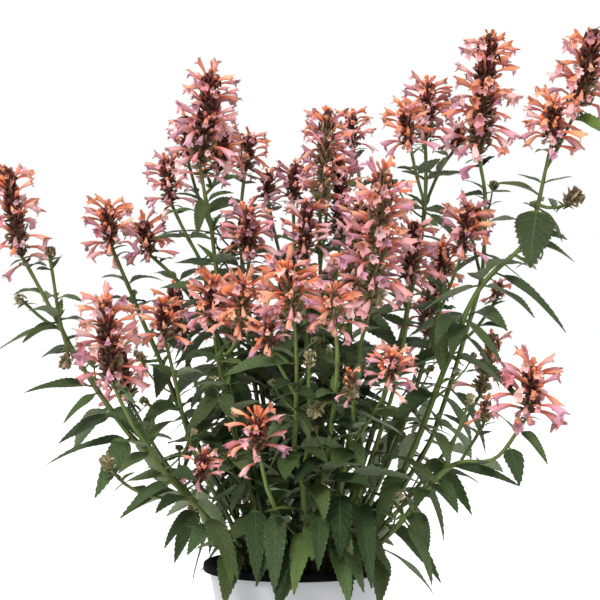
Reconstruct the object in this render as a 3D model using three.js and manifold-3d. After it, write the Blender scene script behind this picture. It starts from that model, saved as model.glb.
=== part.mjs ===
// A giant hyssop in flower, in its black nursery pot, which stands in a white outer pot.
// Millimetres, +Z up. The origin is the middle of the outer pot's foot. The front is -Y.

import * as THREE from 'three';
import { mergeVertices } from 'three/addons/utils/BufferGeometryUtils.js';
import Module from 'manifold-3d';

const wasm = await Module();
wasm.setup();

// Pots and soil
const LIP_RADIUS = 93;
const LIP_TOP = 184;
const LIP_HEIGHT = 8.5;
const LIP_ROLL = 3.2;
const OUTER_TOP_RADIUS = 87;
const OUTER_WAIST_RADIUS = 79;
const OUTER_WAIST_HEIGHT = 132;
const OUTER_FOOT_RADIUS = 64;
const OUTER_WALL = 2.6;
const OUTER_FLOOR = 3.5;
const NURSERY_WALL = 1.4;
const NURSERY_FOOT_HEIGHT = 12;
const NURSERY_CLEAR = 2;
const POT_SIDES = 24;
const GAP = 0.3;
const SMALLEST_EDGE = 0.1;
const SOIL_TOP = 170;
const SOIL_DOME = 4;
// The plant stays this far from the pots' sides, and above this height.
const POT_CLEAR = 2;
const LOWEST_LEAF = 60;
// How far out low leaves reach: at the lip's height, how much more per mm above it, and at least.
const LIP_SPREAD = 130;
const SPREAD_RISE = 1.25;
const LEAST_SPREAD = 150;

// Plant
const ROOT_DEPTH = 14;
const FREE_FOOT = 6;
const STEM_SIDES = 4;
const STEM_STEP = 62;
const STEM_TIP_RADIUS = 1.9;
const AIMED_END = 7;
const TWIG_RADIUS = 1.7;
const TWIG_TIP_RADIUS = 1.45;
const TWIG_STEP = 40;
const BEAD_STEP = 5;
const BEAD_MARGIN = 1.0;
const PETIOLE_SHARE = 0.15;
const PETIOLE_HALF_WIDTH = 1.1;
const BLADE_HALF_THICKNESS = 0.65;
const LARGE_LEAF = 46;
// Paired leaves shorter than this are left out of the solids.
const LEAST_LEAF = 75.5;
const NOTCH = 0.8;
const NEAR_SHARE = 0.4;
const PETIOLE_ROOM = 2;
const BLADE_ROOM = 3.1;
const LARGE_HEAD = 11;
// The share of a head's flowers that the solids hold.
const FLOWER_SHARE = 0.38;

// Places on the plant are written as [x, depth, z] in a front view at the pot's axis, from a
// viewer this far away and this high. Depth moves a place along the line of sight.
const VIEWER_DISTANCE = 2600;
const VIEWER_HEIGHT = 540;

const UP = new THREE.Vector3(0, 0, 1);
const EAST = new THREE.Vector3(1, 0, 0);
const NORTH = new THREE.Vector3(0, 1, 0);
const DEGREE = Math.PI / 180;

// A head is a flower spike, or a small bud head with no open flower. Its base is the end of its
// stem. A head with a name is a node of its own, and one without is fused to its spray.
function bloom(name, top, girth, flowers, reach) {
  return { name, top, girth, flowers, reach };
}

function bud(top, girth) {
  return bloom(null, top, girth, 0, 0);
}

// A spray is one leafy stem from its crown place in the soil, with its branches. A branch
// starts at the numbered place of the stem's path.
const SPRAYS = [
  {
    name: 'far_left',
    crown: [-34, -4],
    radius: 3.2,
    path: [[-74, -12, 201], [-99, -16, 241], [-131, -20, 276], [-169, -24, 313], [-196, -27, 351],
      [-220, -29, 389], [-234, -30, 416], [-250, -30, 446], [-266, -30, 476], [-274, -30, 489]],
    head: bloom('far_left', [-291, -30, 581], 11, 16, 22),
    twigs: [
      {
        from: 6,
        path: [[-238, -36, 434], [-243, -42, 471], [-246, -44, 488]],
        head: bud([-246, -45, 500], 5),
      },
      { from: 6, path: [[-228, -44, 394]], head: bud([-233, -47, 376], 7) },
    ],
  },
  {
    name: 'left_front',
    crown: [-36, -30],
    radius: 3.0,
    path: [[-62, -42, 198], [-106, -58, 246], [-131, -66, 271], [-161, -75, 316], [-174, -79, 341],
      [-183, -81, 361]],
    head: bloom('left_front', [-192, -84, 448], 12, 20, 25),
    twigs: [
      {
        from: 1,
        path: [[-146, -72, 248], [-172, -76, 260], [-184, -77, 274]],
        head: bud([-194, -78, 291], 7),
      },
      { from: 1, path: [[-96, -76, 262]], head: bloom(null, [-93, -84, 292], 8, 8, 16) },
    ],
  },
  {
    name: 'left_mid',
    crown: [-30, 16],
    radius: 3.0,
    path: [[-46, 18, 201], [-91, 22, 286], [-116, 25, 336], [-136, 27, 386], [-154, 29, 426],
      [-168, 30, 461], [-178, 30, 484], [-184, 30, 499]],
    head: bloom('left_mid', [-189, 30, 541], 10, 14, 21),
    twigs: [],
  },
  {
    name: 'left_back',
    crown: [-20, 28],
    radius: 2.8,
    path: [[-34, 34, 266], [-46, 42, 326], [-61, 48, 376], [-81, 53, 416], [-106, 57, 450],
      [-126, 59, 474], [-146, 60, 491]],
    head: bloom('left_back', [-154, 60, 526], 9, 11, 20),
    twigs: [],
  },
  {
    name: 'left_upper',
    crown: [-26, 2],
    radius: 2.8,
    path: [[-44, 12, 246], [-56, 18, 306], [-64, 22, 336], [-70, 24, 366], [-76, 26, 401],
      [-84, 28, 432], [-94, 29, 484], [-110, 30, 511], [-125, 30, 543]],
    head: bloom('left_upper', [-131, 30, 588], 9, 12, 18),
    twigs: [],
  },
  {
    name: 'crest_left',
    crown: [-18, -8],
    radius: 3.0,
    path: [[-31, -8, 216], [-41, -6, 276], [-56, -4, 346], [-66, -2, 396], [-74, 0, 446],
      [-81, 0, 484], [-84, 0, 516], [-91, 0, 551], [-96, 0, 581]],
    head: bloom('crest_left', [-83, 0, 676], 13, 24, 24),
    twigs: [
      {
        from: 7,
        path: [[-84, 28, 558], [-77, 56, 574]],
        head: bloom(null, [-74, 60, 616], 10, 12, 18),
      },
      {
        from: 6,
        path: [[-99, 38, 552], [-108, 58, 586]],
        head: bloom(null, [-110, 62, 631], 8, 9, 16),
      },
    ],
  },
  {
    name: 'back_left',
    crown: [-12, 34],
    radius: 2.8,
    path: [[-26, 46, 256], [-39, 64, 346], [-49, 80, 416], [-54, 90, 486], [-55, 96, 541],
      [-51, 100, 574]],
    head: bloom('back_left', [-46, 100, 611], 9, 11, 18),
    twigs: [],
  },
  {
    name: 'back_mid',
    crown: [0, 38],
    radius: 2.8,
    path: [[0, 48, 266], [1, 60, 346], [2, 70, 416], [-1, 77, 486], [-3, 80, 546]],
    head: bloom('back_mid', [1, 80, 583], 9, 11, 18),
    twigs: [
      {
        from: 2,
        path: [[-6, 92, 456], [-20, 112, 506], [-28, 120, 546]],
        head: bloom(null, [-28, 120, 574], 8, 7, 16),
      },
    ],
  },
  {
    name: 'back_right',
    crown: [14, 36],
    radius: 2.8,
    path: [[27, 54, 286], [42, 74, 366], [58, 92, 446], [66, 102, 516], [65, 107, 560], [57, 110, 598]],
    head: bloom('back_right', [54, 110, 632], 8, 10, 18),
    twigs: [],
  },
  {
    name: 'centre_tall',
    crown: [12, 14],
    radius: 3.0,
    path: [[18, 16, 240], [26, 18, 316], [29, 20, 396], [24, 20, 476], [24, 20, 531]],
    head: bloom('centre_tall', [32, 20, 633], 11, 18, 17),
    twigs: [],
  },
  {
    name: 'centre_mid',
    crown: [6, -6],
    radius: 2.6,
    path: [[12, -8, 266], [14, -9, 346], [9, -8, 426], [8, -8, 484]],
    head: bloom('centre_mid', [11, -8, 546], 9, 12, 20),
    twigs: [],
  },
  {
    name: 'centre_left',
    crown: [-8, 8],
    radius: 2.6,
    path: [[-18, 10, 246], [-30, 8, 326], [-42, 4, 406], [-50, 0, 451], [-47, 0, 486]],
    head: bloom('centre_left', [-49, 0, 538], 10, 16, 22),
    twigs: [],
  },
  {
    name: 'front_left',
    crown: [-20, -28],
    radius: 2.8,
    path: [[-46, -42, 256], [-66, -52, 326], [-78, -58, 386], [-83, -60, 424]],
    head: bloom('front_left', [-83, -62, 466], 10, 14, 21),
    twigs: [],
  },
  {
    name: 'front_centre',
    crown: [6, -42],
    radius: 2.8,
    path: [[13, -52, 201], [8, -60, 236], [6, -66, 271], [-3, -75, 296], [0, -84, 320],
      [0, -94, 350], [1, -102, 386], [-2, -109, 424]],
    head: bloom('front_centre', [-9, -113, 480], 11, 20, 25),
    twigs: [
      {
        from: 5,
        path: [[-12, -98, 372], [-26, -102, 396]],
        head: bloom(null, [-30, -104, 424], 8, 9, 18),
      },
    ],
  },
  {
    name: 'front_mid',
    crown: [18, -40],
    radius: 2.6,
    path: [[25, -56, 246], [32, -74, 296], [39, -94, 346], [42, -110, 386], [39, -122, 421]],
    head: bloom('front_mid', [37, -128, 456], 9, 13, 22),
    twigs: [
      { from: 2, path: [[26, -112, 342]], head: bud([14, -120, 330], 7) },
    ],
  },
  {
    name: 'front_tall',
    crown: [34, -34],
    radius: 3.2,
    path: [[42, -48, 246], [52, -64, 296], [57, -74, 326], [62, -84, 366], [65, -92, 406], [74, -98, 434]],
    head: bloom('front_tall', [89, -104, 581], 13, 34, 27),
    twigs: [
      {
        from: 1,
        path: [[68, -86, 316], [86, -108, 346], [95, -120, 366]],
        head: bloom(null, [96, -124, 392], 9, 12, 18),
      },
      {
        from: 1,
        path: [[58, -96, 318], [56, -120, 346]],
        head: bloom(null, [52, -126, 374], 7, 6, 14),
      },
    ],
  },
  {
    name: 'centre_right',
    crown: [28, -16],
    radius: 2.8,
    path: [[44, -26, 276], [50, -34, 346], [54, -44, 396], [55, -54, 446]],
    head: bloom('centre_right', [66, -58, 546], 11, 18, 22),
    twigs: [],
  },
  {
    name: 'right_front',
    crown: [41, -26],
    radius: 2.8,
    path: [[54, -28, 226], [79, -34, 296], [98, -38, 356], [110, -41, 416], [114, -42, 461]],
    head: bloom('right_front', [118, -42, 526], 10, 16, 20),
    twigs: [],
  },
  {
    name: 'right_tall',
    crown: [30, 10],
    radius: 3.2,
    path: [[49, 10, 226], [68, 14, 286], [87, 18, 346], [102, 22, 396], [114, 26, 446],
      [125, 28, 506], [129, 30, 541], [130, 38, 576], [129, 40, 604]],
    head: bloom('right_tall', [132, 40, 664], 10, 18, 22),
    twigs: [
      {
        from: 6,
        path: [[120, 8, 571], [114, -18, 600]],
        head: bloom('right_inner', [107, -20, 638], 9, 13, 20),
      },
      { from: 6, path: [[144, 50, 578], [160, 62, 598]], head: bloom(null, [163, 64, 622], 8, 6, 13) },
    ],
  },
  {
    name: 'right_mid',
    crown: [42, -2],
    radius: 2.6,
    path: [[94, -4, 286], [117, -8, 346], [132, -10, 398], [142, -10, 430], [147, -10, 471]],
    head: bloom('right_mid', [145, -10, 500], 9, 10, 19),
    twigs: [],
  },
  {
    name: 'crest_right',
    crown: [42, 14],
    radius: 3.0,
    path: [[72, 18, 206], [106, 24, 256], [136, 26, 306], [156, 26, 366], [171, 22, 416],
      [186, 14, 466], [189, 6, 511], [189, 2, 556], [182, 0, 590]],
    head: bloom('crest_right', [193, 0, 714], 13, 30, 26),
    twigs: [
      { from: 5, path: [[180, 30, 488], [176, 38, 508]], head: bloom(null, [179, 40, 540], 9, 8, 16) },
    ],
  },
  {
    name: 'right_orange',
    crown: [48, -16],
    radius: 3.5,
    path: [[76, -20, 216], [100, -22, 256], [126, -26, 316], [148, -30, 376], [159, -32, 400],
      [168, -34, 430], [183, -37, 458], [204, -40, 481], [219, -43, 491], [234, -47, 511],
      [242, -52, 541], [249, -56, 576], [256, -60, 606]],
    head: bloom('right_orange', [256, -60, 645], 10, 17, 22),
    twigs: [
      {
        from: 11,
        path: [[266, -44, 606], [281, -40, 638]],
        head: bloom('far_right', [300, -40, 718], 13, 22, 24),
      },
      { from: 10, path: [[256, -44, 534], [270, -43, 541]], head: bud([285, -42, 556], 9) },
      { from: 8, path: [[234, -28, 482]], head: bud([243, -24, 498], 6) },
      {
        from: 4,
        path: [[176, -10, 412], [190, 12, 430], [200, 26, 446]],
        head: bloom(null, [202, 30, 464], 6, 6, 12),
      },
    ],
  },
  {
    name: 'low_right',
    crown: [52, -34],
    radius: 2.8,
    path: [[104, -42, 221], [129, -46, 254], [149, -50, 276], [166, -52, 286], [189, -55, 282],
      [202, -57, 286], [211, -59, 298], [221, -60, 313], [233, -60, 331]],
    head: bloom('low_right', [236, -60, 381], 11, 22, 27),
    twigs: [
      {
        from: 3,
        path: [[178, -40, 304], [188, -34, 322]],
        head: bloom(null, [190, -32, 346], 7, 7, 16),
      },
    ],
  },
  {
    name: 'low_front',
    crown: [-4, -46],
    radius: 2.4,
    path: [[-16, -68, 226], [-29, -84, 256], [-38, -96, 294]],
    head: bloom('low_front', [-41, -102, 330], 10, 16, 23),
    twigs: [],
  },
  {
    name: 'inner_left',
    crown: [-48, -16],
    radius: 2.6,
    path: [[-66, -16, 226], [-96, -24, 276], [-113, -30, 326], [-121, -34, 366], [-131, -40, 407]],
    head: bloom('inner_left', [-134, -41, 444], 9, 11, 18),
    twigs: [],
  },
  {
    name: 'hind_left',
    crown: [-26, 44],
    radius: 2.6,
    path: [[-52, 84, 246], [-88, 130, 326], [-112, 166, 396]],
    head: bloom(null, [-124, 184, 462], 11, 14, 22),
    twigs: [],
  },
  {
    name: 'hind_mid',
    crown: [4, 52],
    radius: 2.6,
    path: [[10, 98, 256], [20, 152, 336], [28, 190, 406]],
    head: bloom(null, [32, 208, 478], 11, 14, 22),
    twigs: [],
  },
  {
    name: 'hind_right',
    crown: [34, 42],
    radius: 2.6,
    path: [[70, 84, 246], [108, 126, 330], [130, 156, 410]],
    head: bloom(null, [138, 170, 482], 11, 14, 22),
    twigs: [],
  },
  {
    name: 'side_right',
    crown: [50, 28],
    radius: 2.6,
    path: [[104, 58, 236], [152, 86, 296], [184, 106, 350]],
    head: bloom(null, [198, 114, 414], 10, 12, 22),
    twigs: [],
  },
  {
    name: 'side_left',
    crown: [-46, 24],
    radius: 2.6,
    path: [[-92, 52, 232], [-138, 82, 292], [-166, 102, 344]],
    head: bloom(null, [-180, 110, 404], 10, 12, 22),
    twigs: [],
  },
];

// Leaves with a place of their own: the spray, the height of the root, the tip, the width.
const PLACED_LEAVES = [
  ['right_orange', 541, [234, -92, 478], 47],
  ['right_orange', 540, [266, -20, 504], 16],
  ['right_orange', 551, [199, -72, 562], 14],
  ['right_orange', 476, [270, -74, 413], 18],
  ['right_orange', 481, [242, -4, 476], 14],
  ['right_orange', 508, [278, -70, 484], 16],
  ['right_orange', 604, [211, -74, 616], 12],
  ['right_orange', 430, [209, -52, 376], 18],
  ['right_orange', 418, [204, -2, 356], 16],
  ['right_orange', 426, [154, -76, 390], 22],
  ['crest_right', 556, [166, -26, 566], 12],
  ['crest_right', 552, [160, 22, 546], 14],
  ['crest_left', 548, [-98, -30, 511], 17],
  ['crest_left', 544, [-62, -22, 526], 18],
  ['left_upper', 509, [-146, 20, 506], 12],
  ['far_left', 361, [-272, -50, 353], 22],
  ['far_left', 356, [-233, -58, 322], 14],
  ['far_left', 421, [-298, -14, 396], 17],
  ['far_left', 426, [-272, -66, 404], 12],
  ['far_left', 488, [-251, -48, 466], 12],
  ['far_left', 334, [-238, -44, 302], 24],
  ['far_left', 308, [-251, -6, 280], 20],
  ['left_front', 301, [-178, -112, 272], 20],
  ['left_front', 272, [-171, -92, 232], 18],
  ['left_front', 244, [-132, -96, 184], 18],
  ['left_front', 226, [-109, -104, 190], 24],
  ['left_front', 204, [-72, -124, 140], 30],
  ['right_tall', 536, [179, 36, 500], 17],
  ['right_tall', 512, [176, 60, 482], 16],
  ['right_mid', 424, [146, -48, 372], 22],
  ['low_right', 306, [225, -98, 258], 24],
  ['low_right', 322, [252, -96, 281], 14],
  ['low_right', 318, [194, -80, 336], 13],
  ['low_right', 284, [224, -72, 247], 18],
  ['low_right', 280, [184, -24, 262], 15],
  ['low_right', 268, [162, -96, 232], 24],
  ['low_right', 242, [138, -100, 184], 28],
  ['front_mid', 270, [76, -126, 258], 30],
  ['front_mid', 283, [94, -116, 206], 35],
  ['front_mid', 236, [57, -128, 190], 32],
  ['front_tall', 246, [100, -124, 168], 31],
  ['front_centre', 389, [-72, -120, 370], 27],
  ['front_centre', 250, [-58, -98, 246], 26],
  ['front_centre', 214, [-18, -136, 136], 30],
  ['front_mid', 214, [16, -138, 132], 31],
  ['front_tall', 216, [54, -130, 138], 26],
  ['right_front', 214, [84, -112, 142], 27],
  ['low_front', 232, [-40, -124, 158], 22],
];

// What a leaf or a flower tries, in order, until it is clear of its neighbours:
// turn about the stem and tilt in degrees, and share of the length.
const TRIES = [
  [0, 0, 1], [18, 0, 1], [-18, 0, 1], [0, -16, 1], [0, 16, 1], [34, -12, 1], [-34, -12, 1],
  [30, 14, 0.9], [-30, 14, 0.9], [0, -30, 0.85], [22, 0, 0.72], [-22, 0, 0.72], [0, 24, 0.7],
];

// The same draws each time, from 0 to 1.
function drawFrom(seed) {
  let state = seed;
  return () => {
    state = (state * 1664525 + 1013904223) % 4294967296;
    return state / 4294967296;
  };
}

function seen([x, depth, z]) {
  const reach = (depth + VIEWER_DISTANCE) / VIEWER_DISTANCE;
  return new THREE.Vector3(x * reach, depth, VIEWER_HEIGHT + (z - VIEWER_HEIGHT) * reach);
}

function along(from, direction, distance) {
  return from.clone().addScaledVector(direction, distance);
}

// Meshes: lists of points and of triangles between them

// Joins rings of points into one closed body. A ring of one point is a tip.
function loft(rings) {
  const points = rings.flat();
  const triangles = [];
  let first = 0;
  const close = (ring, start, flip) => {
    for (let i = 1; i + 1 < ring.length; i += 1) {
      triangles.push(flip ? [start, start + i + 1, start + i] : [start, start + i, start + i + 1]);
    }
  };
  close(rings[0], 0, true);
  for (let k = 0; k + 1 < rings.length; k += 1) {
    const low = rings[k].length;
    const high = rings[k + 1].length;
    const next = first + low;
    for (let i = 0; i < Math.max(low, high); i += 1) {
      const a = first + (i % low);
      const b = first + ((i + 1) % low);
      const c = next + (i % high);
      const d = next + ((i + 1) % high);
      if (low > 1) triangles.push([a, b, d]);
      if (high > 1) triangles.push([a, d, c]);
    }
    first = next;
  }
  close(rings[rings.length - 1], first, false);
  return { points, triangles };
}

function solidOf({ points, triangles }) {
  const geometry = new THREE.BufferGeometry().setFromPoints(points);
  geometry.setIndex(triangles.flat());
  return solidOfGeometry(geometry);
}

function solidOfGeometry(source) {
  const bare = source.clone();
  bare.deleteAttribute('normal');
  bare.deleteAttribute('uv');
  const merged = mergeVertices(bare, 1e-4);
  return new wasm.Manifold(new wasm.Mesh({
    numProp: 3,
    vertProperties: new Float32Array(merged.attributes.position.array),
    triVerts: new Uint32Array(merged.index.array),
  }));
}

function geometryOf(solid) {
  const made = solid.simplify(SMALLEST_EDGE).getMesh();
  const geometry = new THREE.BufferGeometry();
  geometry.setAttribute('position', new THREE.BufferAttribute(made.vertProperties, 3));
  geometry.setIndex(new THREE.BufferAttribute(made.triVerts, 1));
  geometry.computeVertexNormals();
  return geometry;
}

// The rings of a tube along a curve. The section keeps the side that faces +X.
function ringsAlong(curve, shares, sides, radiusAt) {
  const rings = [];
  const side = EAST.clone();
  for (const share of shares) {
    const tangent = curve.getTangent(share);
    side.addScaledVector(tangent, -side.dot(tangent)).normalize();
    const across = new THREE.Vector3().crossVectors(tangent, side);
    rings.push(ringAround(curve.getPoint(share), side, across, sides, () => radiusAt(share)));
  }
  return rings;
}

function ringAround(centre, side, across, sides, radiusOf) {
  const ring = [];
  for (let i = 0; i < sides; i += 1) {
    const angle = (i / sides) * 2 * Math.PI;
    const radius = radiusOf(i);
    const point = along(centre, side, Math.cos(angle) * radius);
    ring.push(point.addScaledVector(across, Math.sin(angle) * radius));
  }
  return ring;
}

// Room: small balls along what is already placed, sorted into cubes

class Room {
  constructor(cube = 20) {
    this.cube = cube;
    this.cubes = new Map();
  }

  key(i, j, k) {
    return (i * 4096 + j) * 4096 + k;
  }

  add(owner, balls) {
    for (const ball of balls) {
      const key = this.key(...this.cell(ball.at));
      if (!this.cubes.has(key)) this.cubes.set(key, []);
      this.cubes.get(key).push({ owner, at: ball.at, radius: ball.radius });
    }
  }

  cell(point) {
    return [point.x, point.y, point.z].map((v) => Math.floor(v / this.cube) + 512);
  }

  // The owner of the first ball that one of these touches. Balls of the owner to skip don't
  // count, nor for a ball near the root of a leaf those of the stem that carries it.
  touched(balls, skip = null, carrier = null) {
    for (const ball of balls) {
      const [ci, cj, ck] = this.cell(ball.at);
      for (let i = ci - 1; i <= ci + 1; i += 1) {
        for (let j = cj - 1; j <= cj + 1; j += 1) {
          for (let k = ck - 1; k <= ck + 1; k += 1) {
            for (const other of this.cubes.get(this.key(i, j, k)) ?? []) {
              if (other.owner === skip || (ball.near && other.owner === carrier)) continue;
              if (other.at.distanceTo(ball.at) < other.radius + ball.radius) return other.owner;
            }
          }
        }
      }
    }
    return null;
  }
}

// The plant stays out of the pots and above the surface they stand on, and is narrow at its foot.
function outOfBounds(balls) {
  return balls.some(({ at, radius }) => {
    const out = Math.hypot(at.x, at.y);
    const clear = POT_CLEAR + radius;
    const spread = Math.max(LEAST_SPREAD, LIP_SPREAD + SPREAD_RISE * (at.z - LIP_TOP));
    const inPots = out < LIP_RADIUS + clear && at.z < LIP_TOP + clear;
    return inPots || at.z < LOWEST_LEAF || out > spread;
  });
}

// Stems

function curveThrough(points) {
  return new THREE.CatmullRomCurve3(points, false, 'catmullrom', 0.5);
}

function axisOf(base, head) {
  return seen(head.top).sub(base).normalize();
}

// The last stretch of a stem is in line with the head that it carries.
function endInLine(points, head) {
  const base = points[points.length - 1];
  const axis = axisOf(base, head);
  return [...points.slice(0, -1), along(base, axis, -AIMED_END), base];
}

function stemOf(spray) {
  const [x, y] = spray.crown;
  const places = [new THREE.Vector3(x, y, SOIL_TOP + FREE_FOOT), ...spray.path.map(seen)];
  return asStem(places, spray.head, spray.radius, STEM_TIP_RADIUS, STEM_STEP);
}

function twigOf(spray, twig) {
  const places = [seen(spray.path[twig.from]), ...twig.path.map(seen)];
  return asStem(places, twig.head, TWIG_RADIUS, TWIG_TIP_RADIUS, TWIG_STEP);
}

// The shares are those of the stem's rings on its curve: at each place of the path but the one
// that only aims the end, and between two that are far apart. The line holds the rings' places,
// and what grows on the stem is rooted on it.
function asStem(path, head, root, tip, step) {
  const places = endInLine(path, head);
  const curve = curveThrough(places);
  const last = places.length - 1;
  const stops = places.map((place, i) => i).filter((i) => i !== last - 1);
  const shares = [0];
  for (let i = 1; i < stops.length; i += 1) {
    const [low, high] = [stops[i - 1], stops[i]];
    const spans = Math.max(1, Math.round(places[high].distanceTo(places[low]) / step));
    for (let j = 1; j <= spans; j += 1) shares.push((low + (high - low) * (j / spans)) / last);
  }
  return { curve, shares, line: shares.map((share) => curve.getPoint(share)), head, root, tip };
}

// The place on the line at this distance below its upper end, or null past its lower end.
function placeBelowHead(stem, distance) {
  let left = distance;
  for (let i = stem.line.length - 1; i > 0; i -= 1) {
    const span = stem.line[i].distanceTo(stem.line[i - 1]);
    if (left <= span) return stem.line[i].clone().lerp(stem.line[i - 1], left / span);
    left -= span;
  }
  return null;
}

function radiusOn(stem, share) {
  return stem.root + (stem.tip - stem.root) * share;
}

function stemSolid(stem, inSoil) {
  const rings = ringsAlong(stem.curve, stem.shares, STEM_SIDES, (share) => radiusOn(stem, share));
  if (inSoil) {
    const foot = stem.line[0];
    const below = [-ROOT_DEPTH - FREE_FOOT, 1 - FREE_FOOT].map((depth) => {
      return ringAround(along(foot, UP, depth), EAST, NORTH, STEM_SIDES, () => stem.root);
    });
    rings.unshift(...below);
  }
  return solidOf(loft(rings));
}

function stemBalls(stem) {
  const balls = [];
  for (let i = 0; i + 1 < stem.line.length; i += 1) {
    const span = stem.line[i].distanceTo(stem.line[i + 1]);
    const count = Math.ceil(span / BEAD_STEP);
    for (let j = 0; j <= count; j += 1) {
      const radius = radiusOn(stem, stem.shares[i]) + BEAD_MARGIN;
      balls.push({ at: stem.line[i].clone().lerp(stem.line[i + 1], j / count), radius });
    }
  }
  return balls;
}

// Heads

// Calyx tips and the valleys between them: shares of the column's radius and of a row's height.
const TIP_OUT = 1.14;
const VALLEY_OUT = 0.66;
const TIP_LIFT = 0.42;
const VALLEY_DROP = 0.05;
const SUNK_START = 3;

// How far the column of calyxes stands out, from its base at 0 to its tip at 1.
function columnRadius(head, share) {
  const swell = Math.min(1, 0.45 + share * 5);
  return head.girth * swell * (1 - 0.5 * share * share);
}

function headFrame(stem) {
  const base = stem.curve.getPoint(1);
  const top = seen(stem.head.top);
  const axis = top.clone().sub(base).normalize();
  const side = new THREE.Vector3(1, 0, 0).addScaledVector(axis, -axis.x).normalize();
  const across = new THREE.Vector3().crossVectors(axis, side);
  return { base, axis, side, across, height: top.distanceTo(base) };
}

// The column is a many-sided body whose corners stand out and up in turn, as calyx tips do.
// The tips of one ring stand between those of the next.
function columnSolid(stem, sides, whorl) {
  const { base, axis, side, across, height } = headFrame(stem);
  const own = stem.head.name !== null;
  const rows = Math.max(2, Math.round(height / whorl));
  const start = own ? GAP : -SUNK_START;
  const rings = [ringAround(along(base, axis, start), side, across, sides, () => TWIG_RADIUS)];
  for (let row = 0; row < rows; row += 1) {
    const share = (row + 0.5) / rows;
    const radius = columnRadius(stem.head, share);
    const ring = ringAround(new THREE.Vector3(), side, across, sides, (i) => {
      return radius * ((i + row) % 2 ? TIP_OUT : VALLEY_OUT);
    });
    rings.push(ring.map((corner, i) => {
      const lift = (i + row) % 2 ? TIP_LIFT : -VALLEY_DROP;
      return along(base, axis, height * (share + lift / rows)).add(corner);
    }));
  }
  rings.push([along(base, axis, height)]);
  return solidOf(loft(rings));
}

function columnBalls(stem) {
  const { base, axis, height } = headFrame(stem);
  const count = Math.ceil(height / BEAD_STEP);
  const balls = [];
  for (let i = 1; i <= count; i += 1) {
    const share = i / count;
    const radius = columnRadius(stem.head, share) * 1.1 + BEAD_MARGIN;
    balls.push({ at: along(base, axis, share * height), radius });
  }
  return balls;
}

// A flower leaves the axis at a share of the height, and leans up more towards the top.
function flowerLine(stem, number, attempt) {
  const { base, axis, side, across, height } = headFrame(stem);
  const [turn, tilt, size] = attempt;
  const share = 0.1 + 0.76 * ((number * 0.5698403 + 0.31) % 1);
  const angle = 2 * Math.PI * ((number * 0.7548777 + 0.17) % 1) + turn * DEGREE;
  const rise = (-14 + 62 * share + 12 * Math.sin(number * 2.4) + tilt) * DEGREE;
  const out = side.clone().multiplyScalar(Math.cos(angle)).addScaledVector(across, Math.sin(angle));
  const direction = out.multiplyScalar(Math.cos(rise)).addScaledVector(axis, Math.sin(rise));
  const length = stem.head.reach * size * (1 - 0.3 * share * share);
  const inside = columnRadius(stem.head, share) * 0.8;
  return { from: along(base, axis, share * height), direction, inside, length };
}

function flowerBalls(line) {
  return [0.35, 0.68, 1].map((share) => ({
    at: along(line.from, line.direction, line.inside + line.length * share),
    radius: 2.4 + 1.6 * share,
  }));
}

// A corolla: a slim tube that opens into an upper lip and a longer, hanging lower lip.
// On the small heads it widens evenly.
const WAIST_RADIUS = 1.3;
const MOUTH_RADIUS = 3.1;
const SMALL_MOUTH_RADIUS = 2.7;
const LIP_SLANT = 2;

function flowerSolid(line, small) {
  const { from, direction, inside, length } = line;
  const side = new THREE.Vector3().crossVectors(direction, UP);
  if (side.length() < 0.05) side.set(1, 0, 0);
  side.normalize();
  const above = new THREE.Vector3().crossVectors(side, direction);
  const ring = (distance, radius, sag, slant) => [90, 210, 330].map((degrees) => {
    const cos = Math.cos(degrees * DEGREE);
    const sin = Math.sin(degrees * DEGREE);
    const point = along(from, direction, distance + slant * sin);
    return point.addScaledVector(side, cos * radius).addScaledVector(above, sin * radius - sag);
  });
  const waist = small ? [] : [ring(inside + length * 0.5, WAIST_RADIUS, 0, 0)];
  const open = small ? SMALL_MOUTH_RADIUS : MOUTH_RADIUS;
  const mouth = ring(inside + length, open, length * 0.05, -LIP_SLANT);
  return solidOf(loft([[from], ...waist, mouth].map((r) => r.slice().reverse())));
}

// Leaves

// The half width of a blade, from its base at 0 to its tip at 1: round below, drawn out above.
function bladeWidth(share) {
  return Math.sqrt(share) * (1 - share) ** 1.25 / 0.351;
}

// A leaf bends from its root to its tip as a quadratic curve, and its two halves fold up a little.
function leafFrame(leaf) {
  const chord = leaf.tip.clone().sub(leaf.root);
  const out = new THREE.Vector3(chord.x, chord.y, 0);
  if (out.length() < 6) out.set(0, -1, 0);
  const side = out.normalize().cross(UP).normalize();
  side.addScaledVector(UP, leaf.roll).normalize();
  const raise = new THREE.Vector3().crossVectors(side, chord).normalize();
  const middle = along(leaf.root, chord, 0.42).addScaledVector(raise, leaf.arch * chord.length());
  const curve = new THREE.QuadraticBezierCurve3(leaf.root, middle, leaf.tip);
  return { curve, side, length: chord.length() };
}

function bladePoint(frame, leaf, share, across, lift = 0) {
  const centre = frame.curve.getPoint(share);
  const tangent = frame.curve.getTangent(share);
  const normal = new THREE.Vector3().crossVectors(frame.side, tangent).normalize();
  const offset = Math.abs(across);
  return centre.addScaledVector(frame.side, across).addScaledVector(normal, lift + leaf.fold * offset);
}

function shareOnLeaf(share) {
  return PETIOLE_SHARE + (1 - PETIOLE_SHARE) * share;
}

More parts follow.
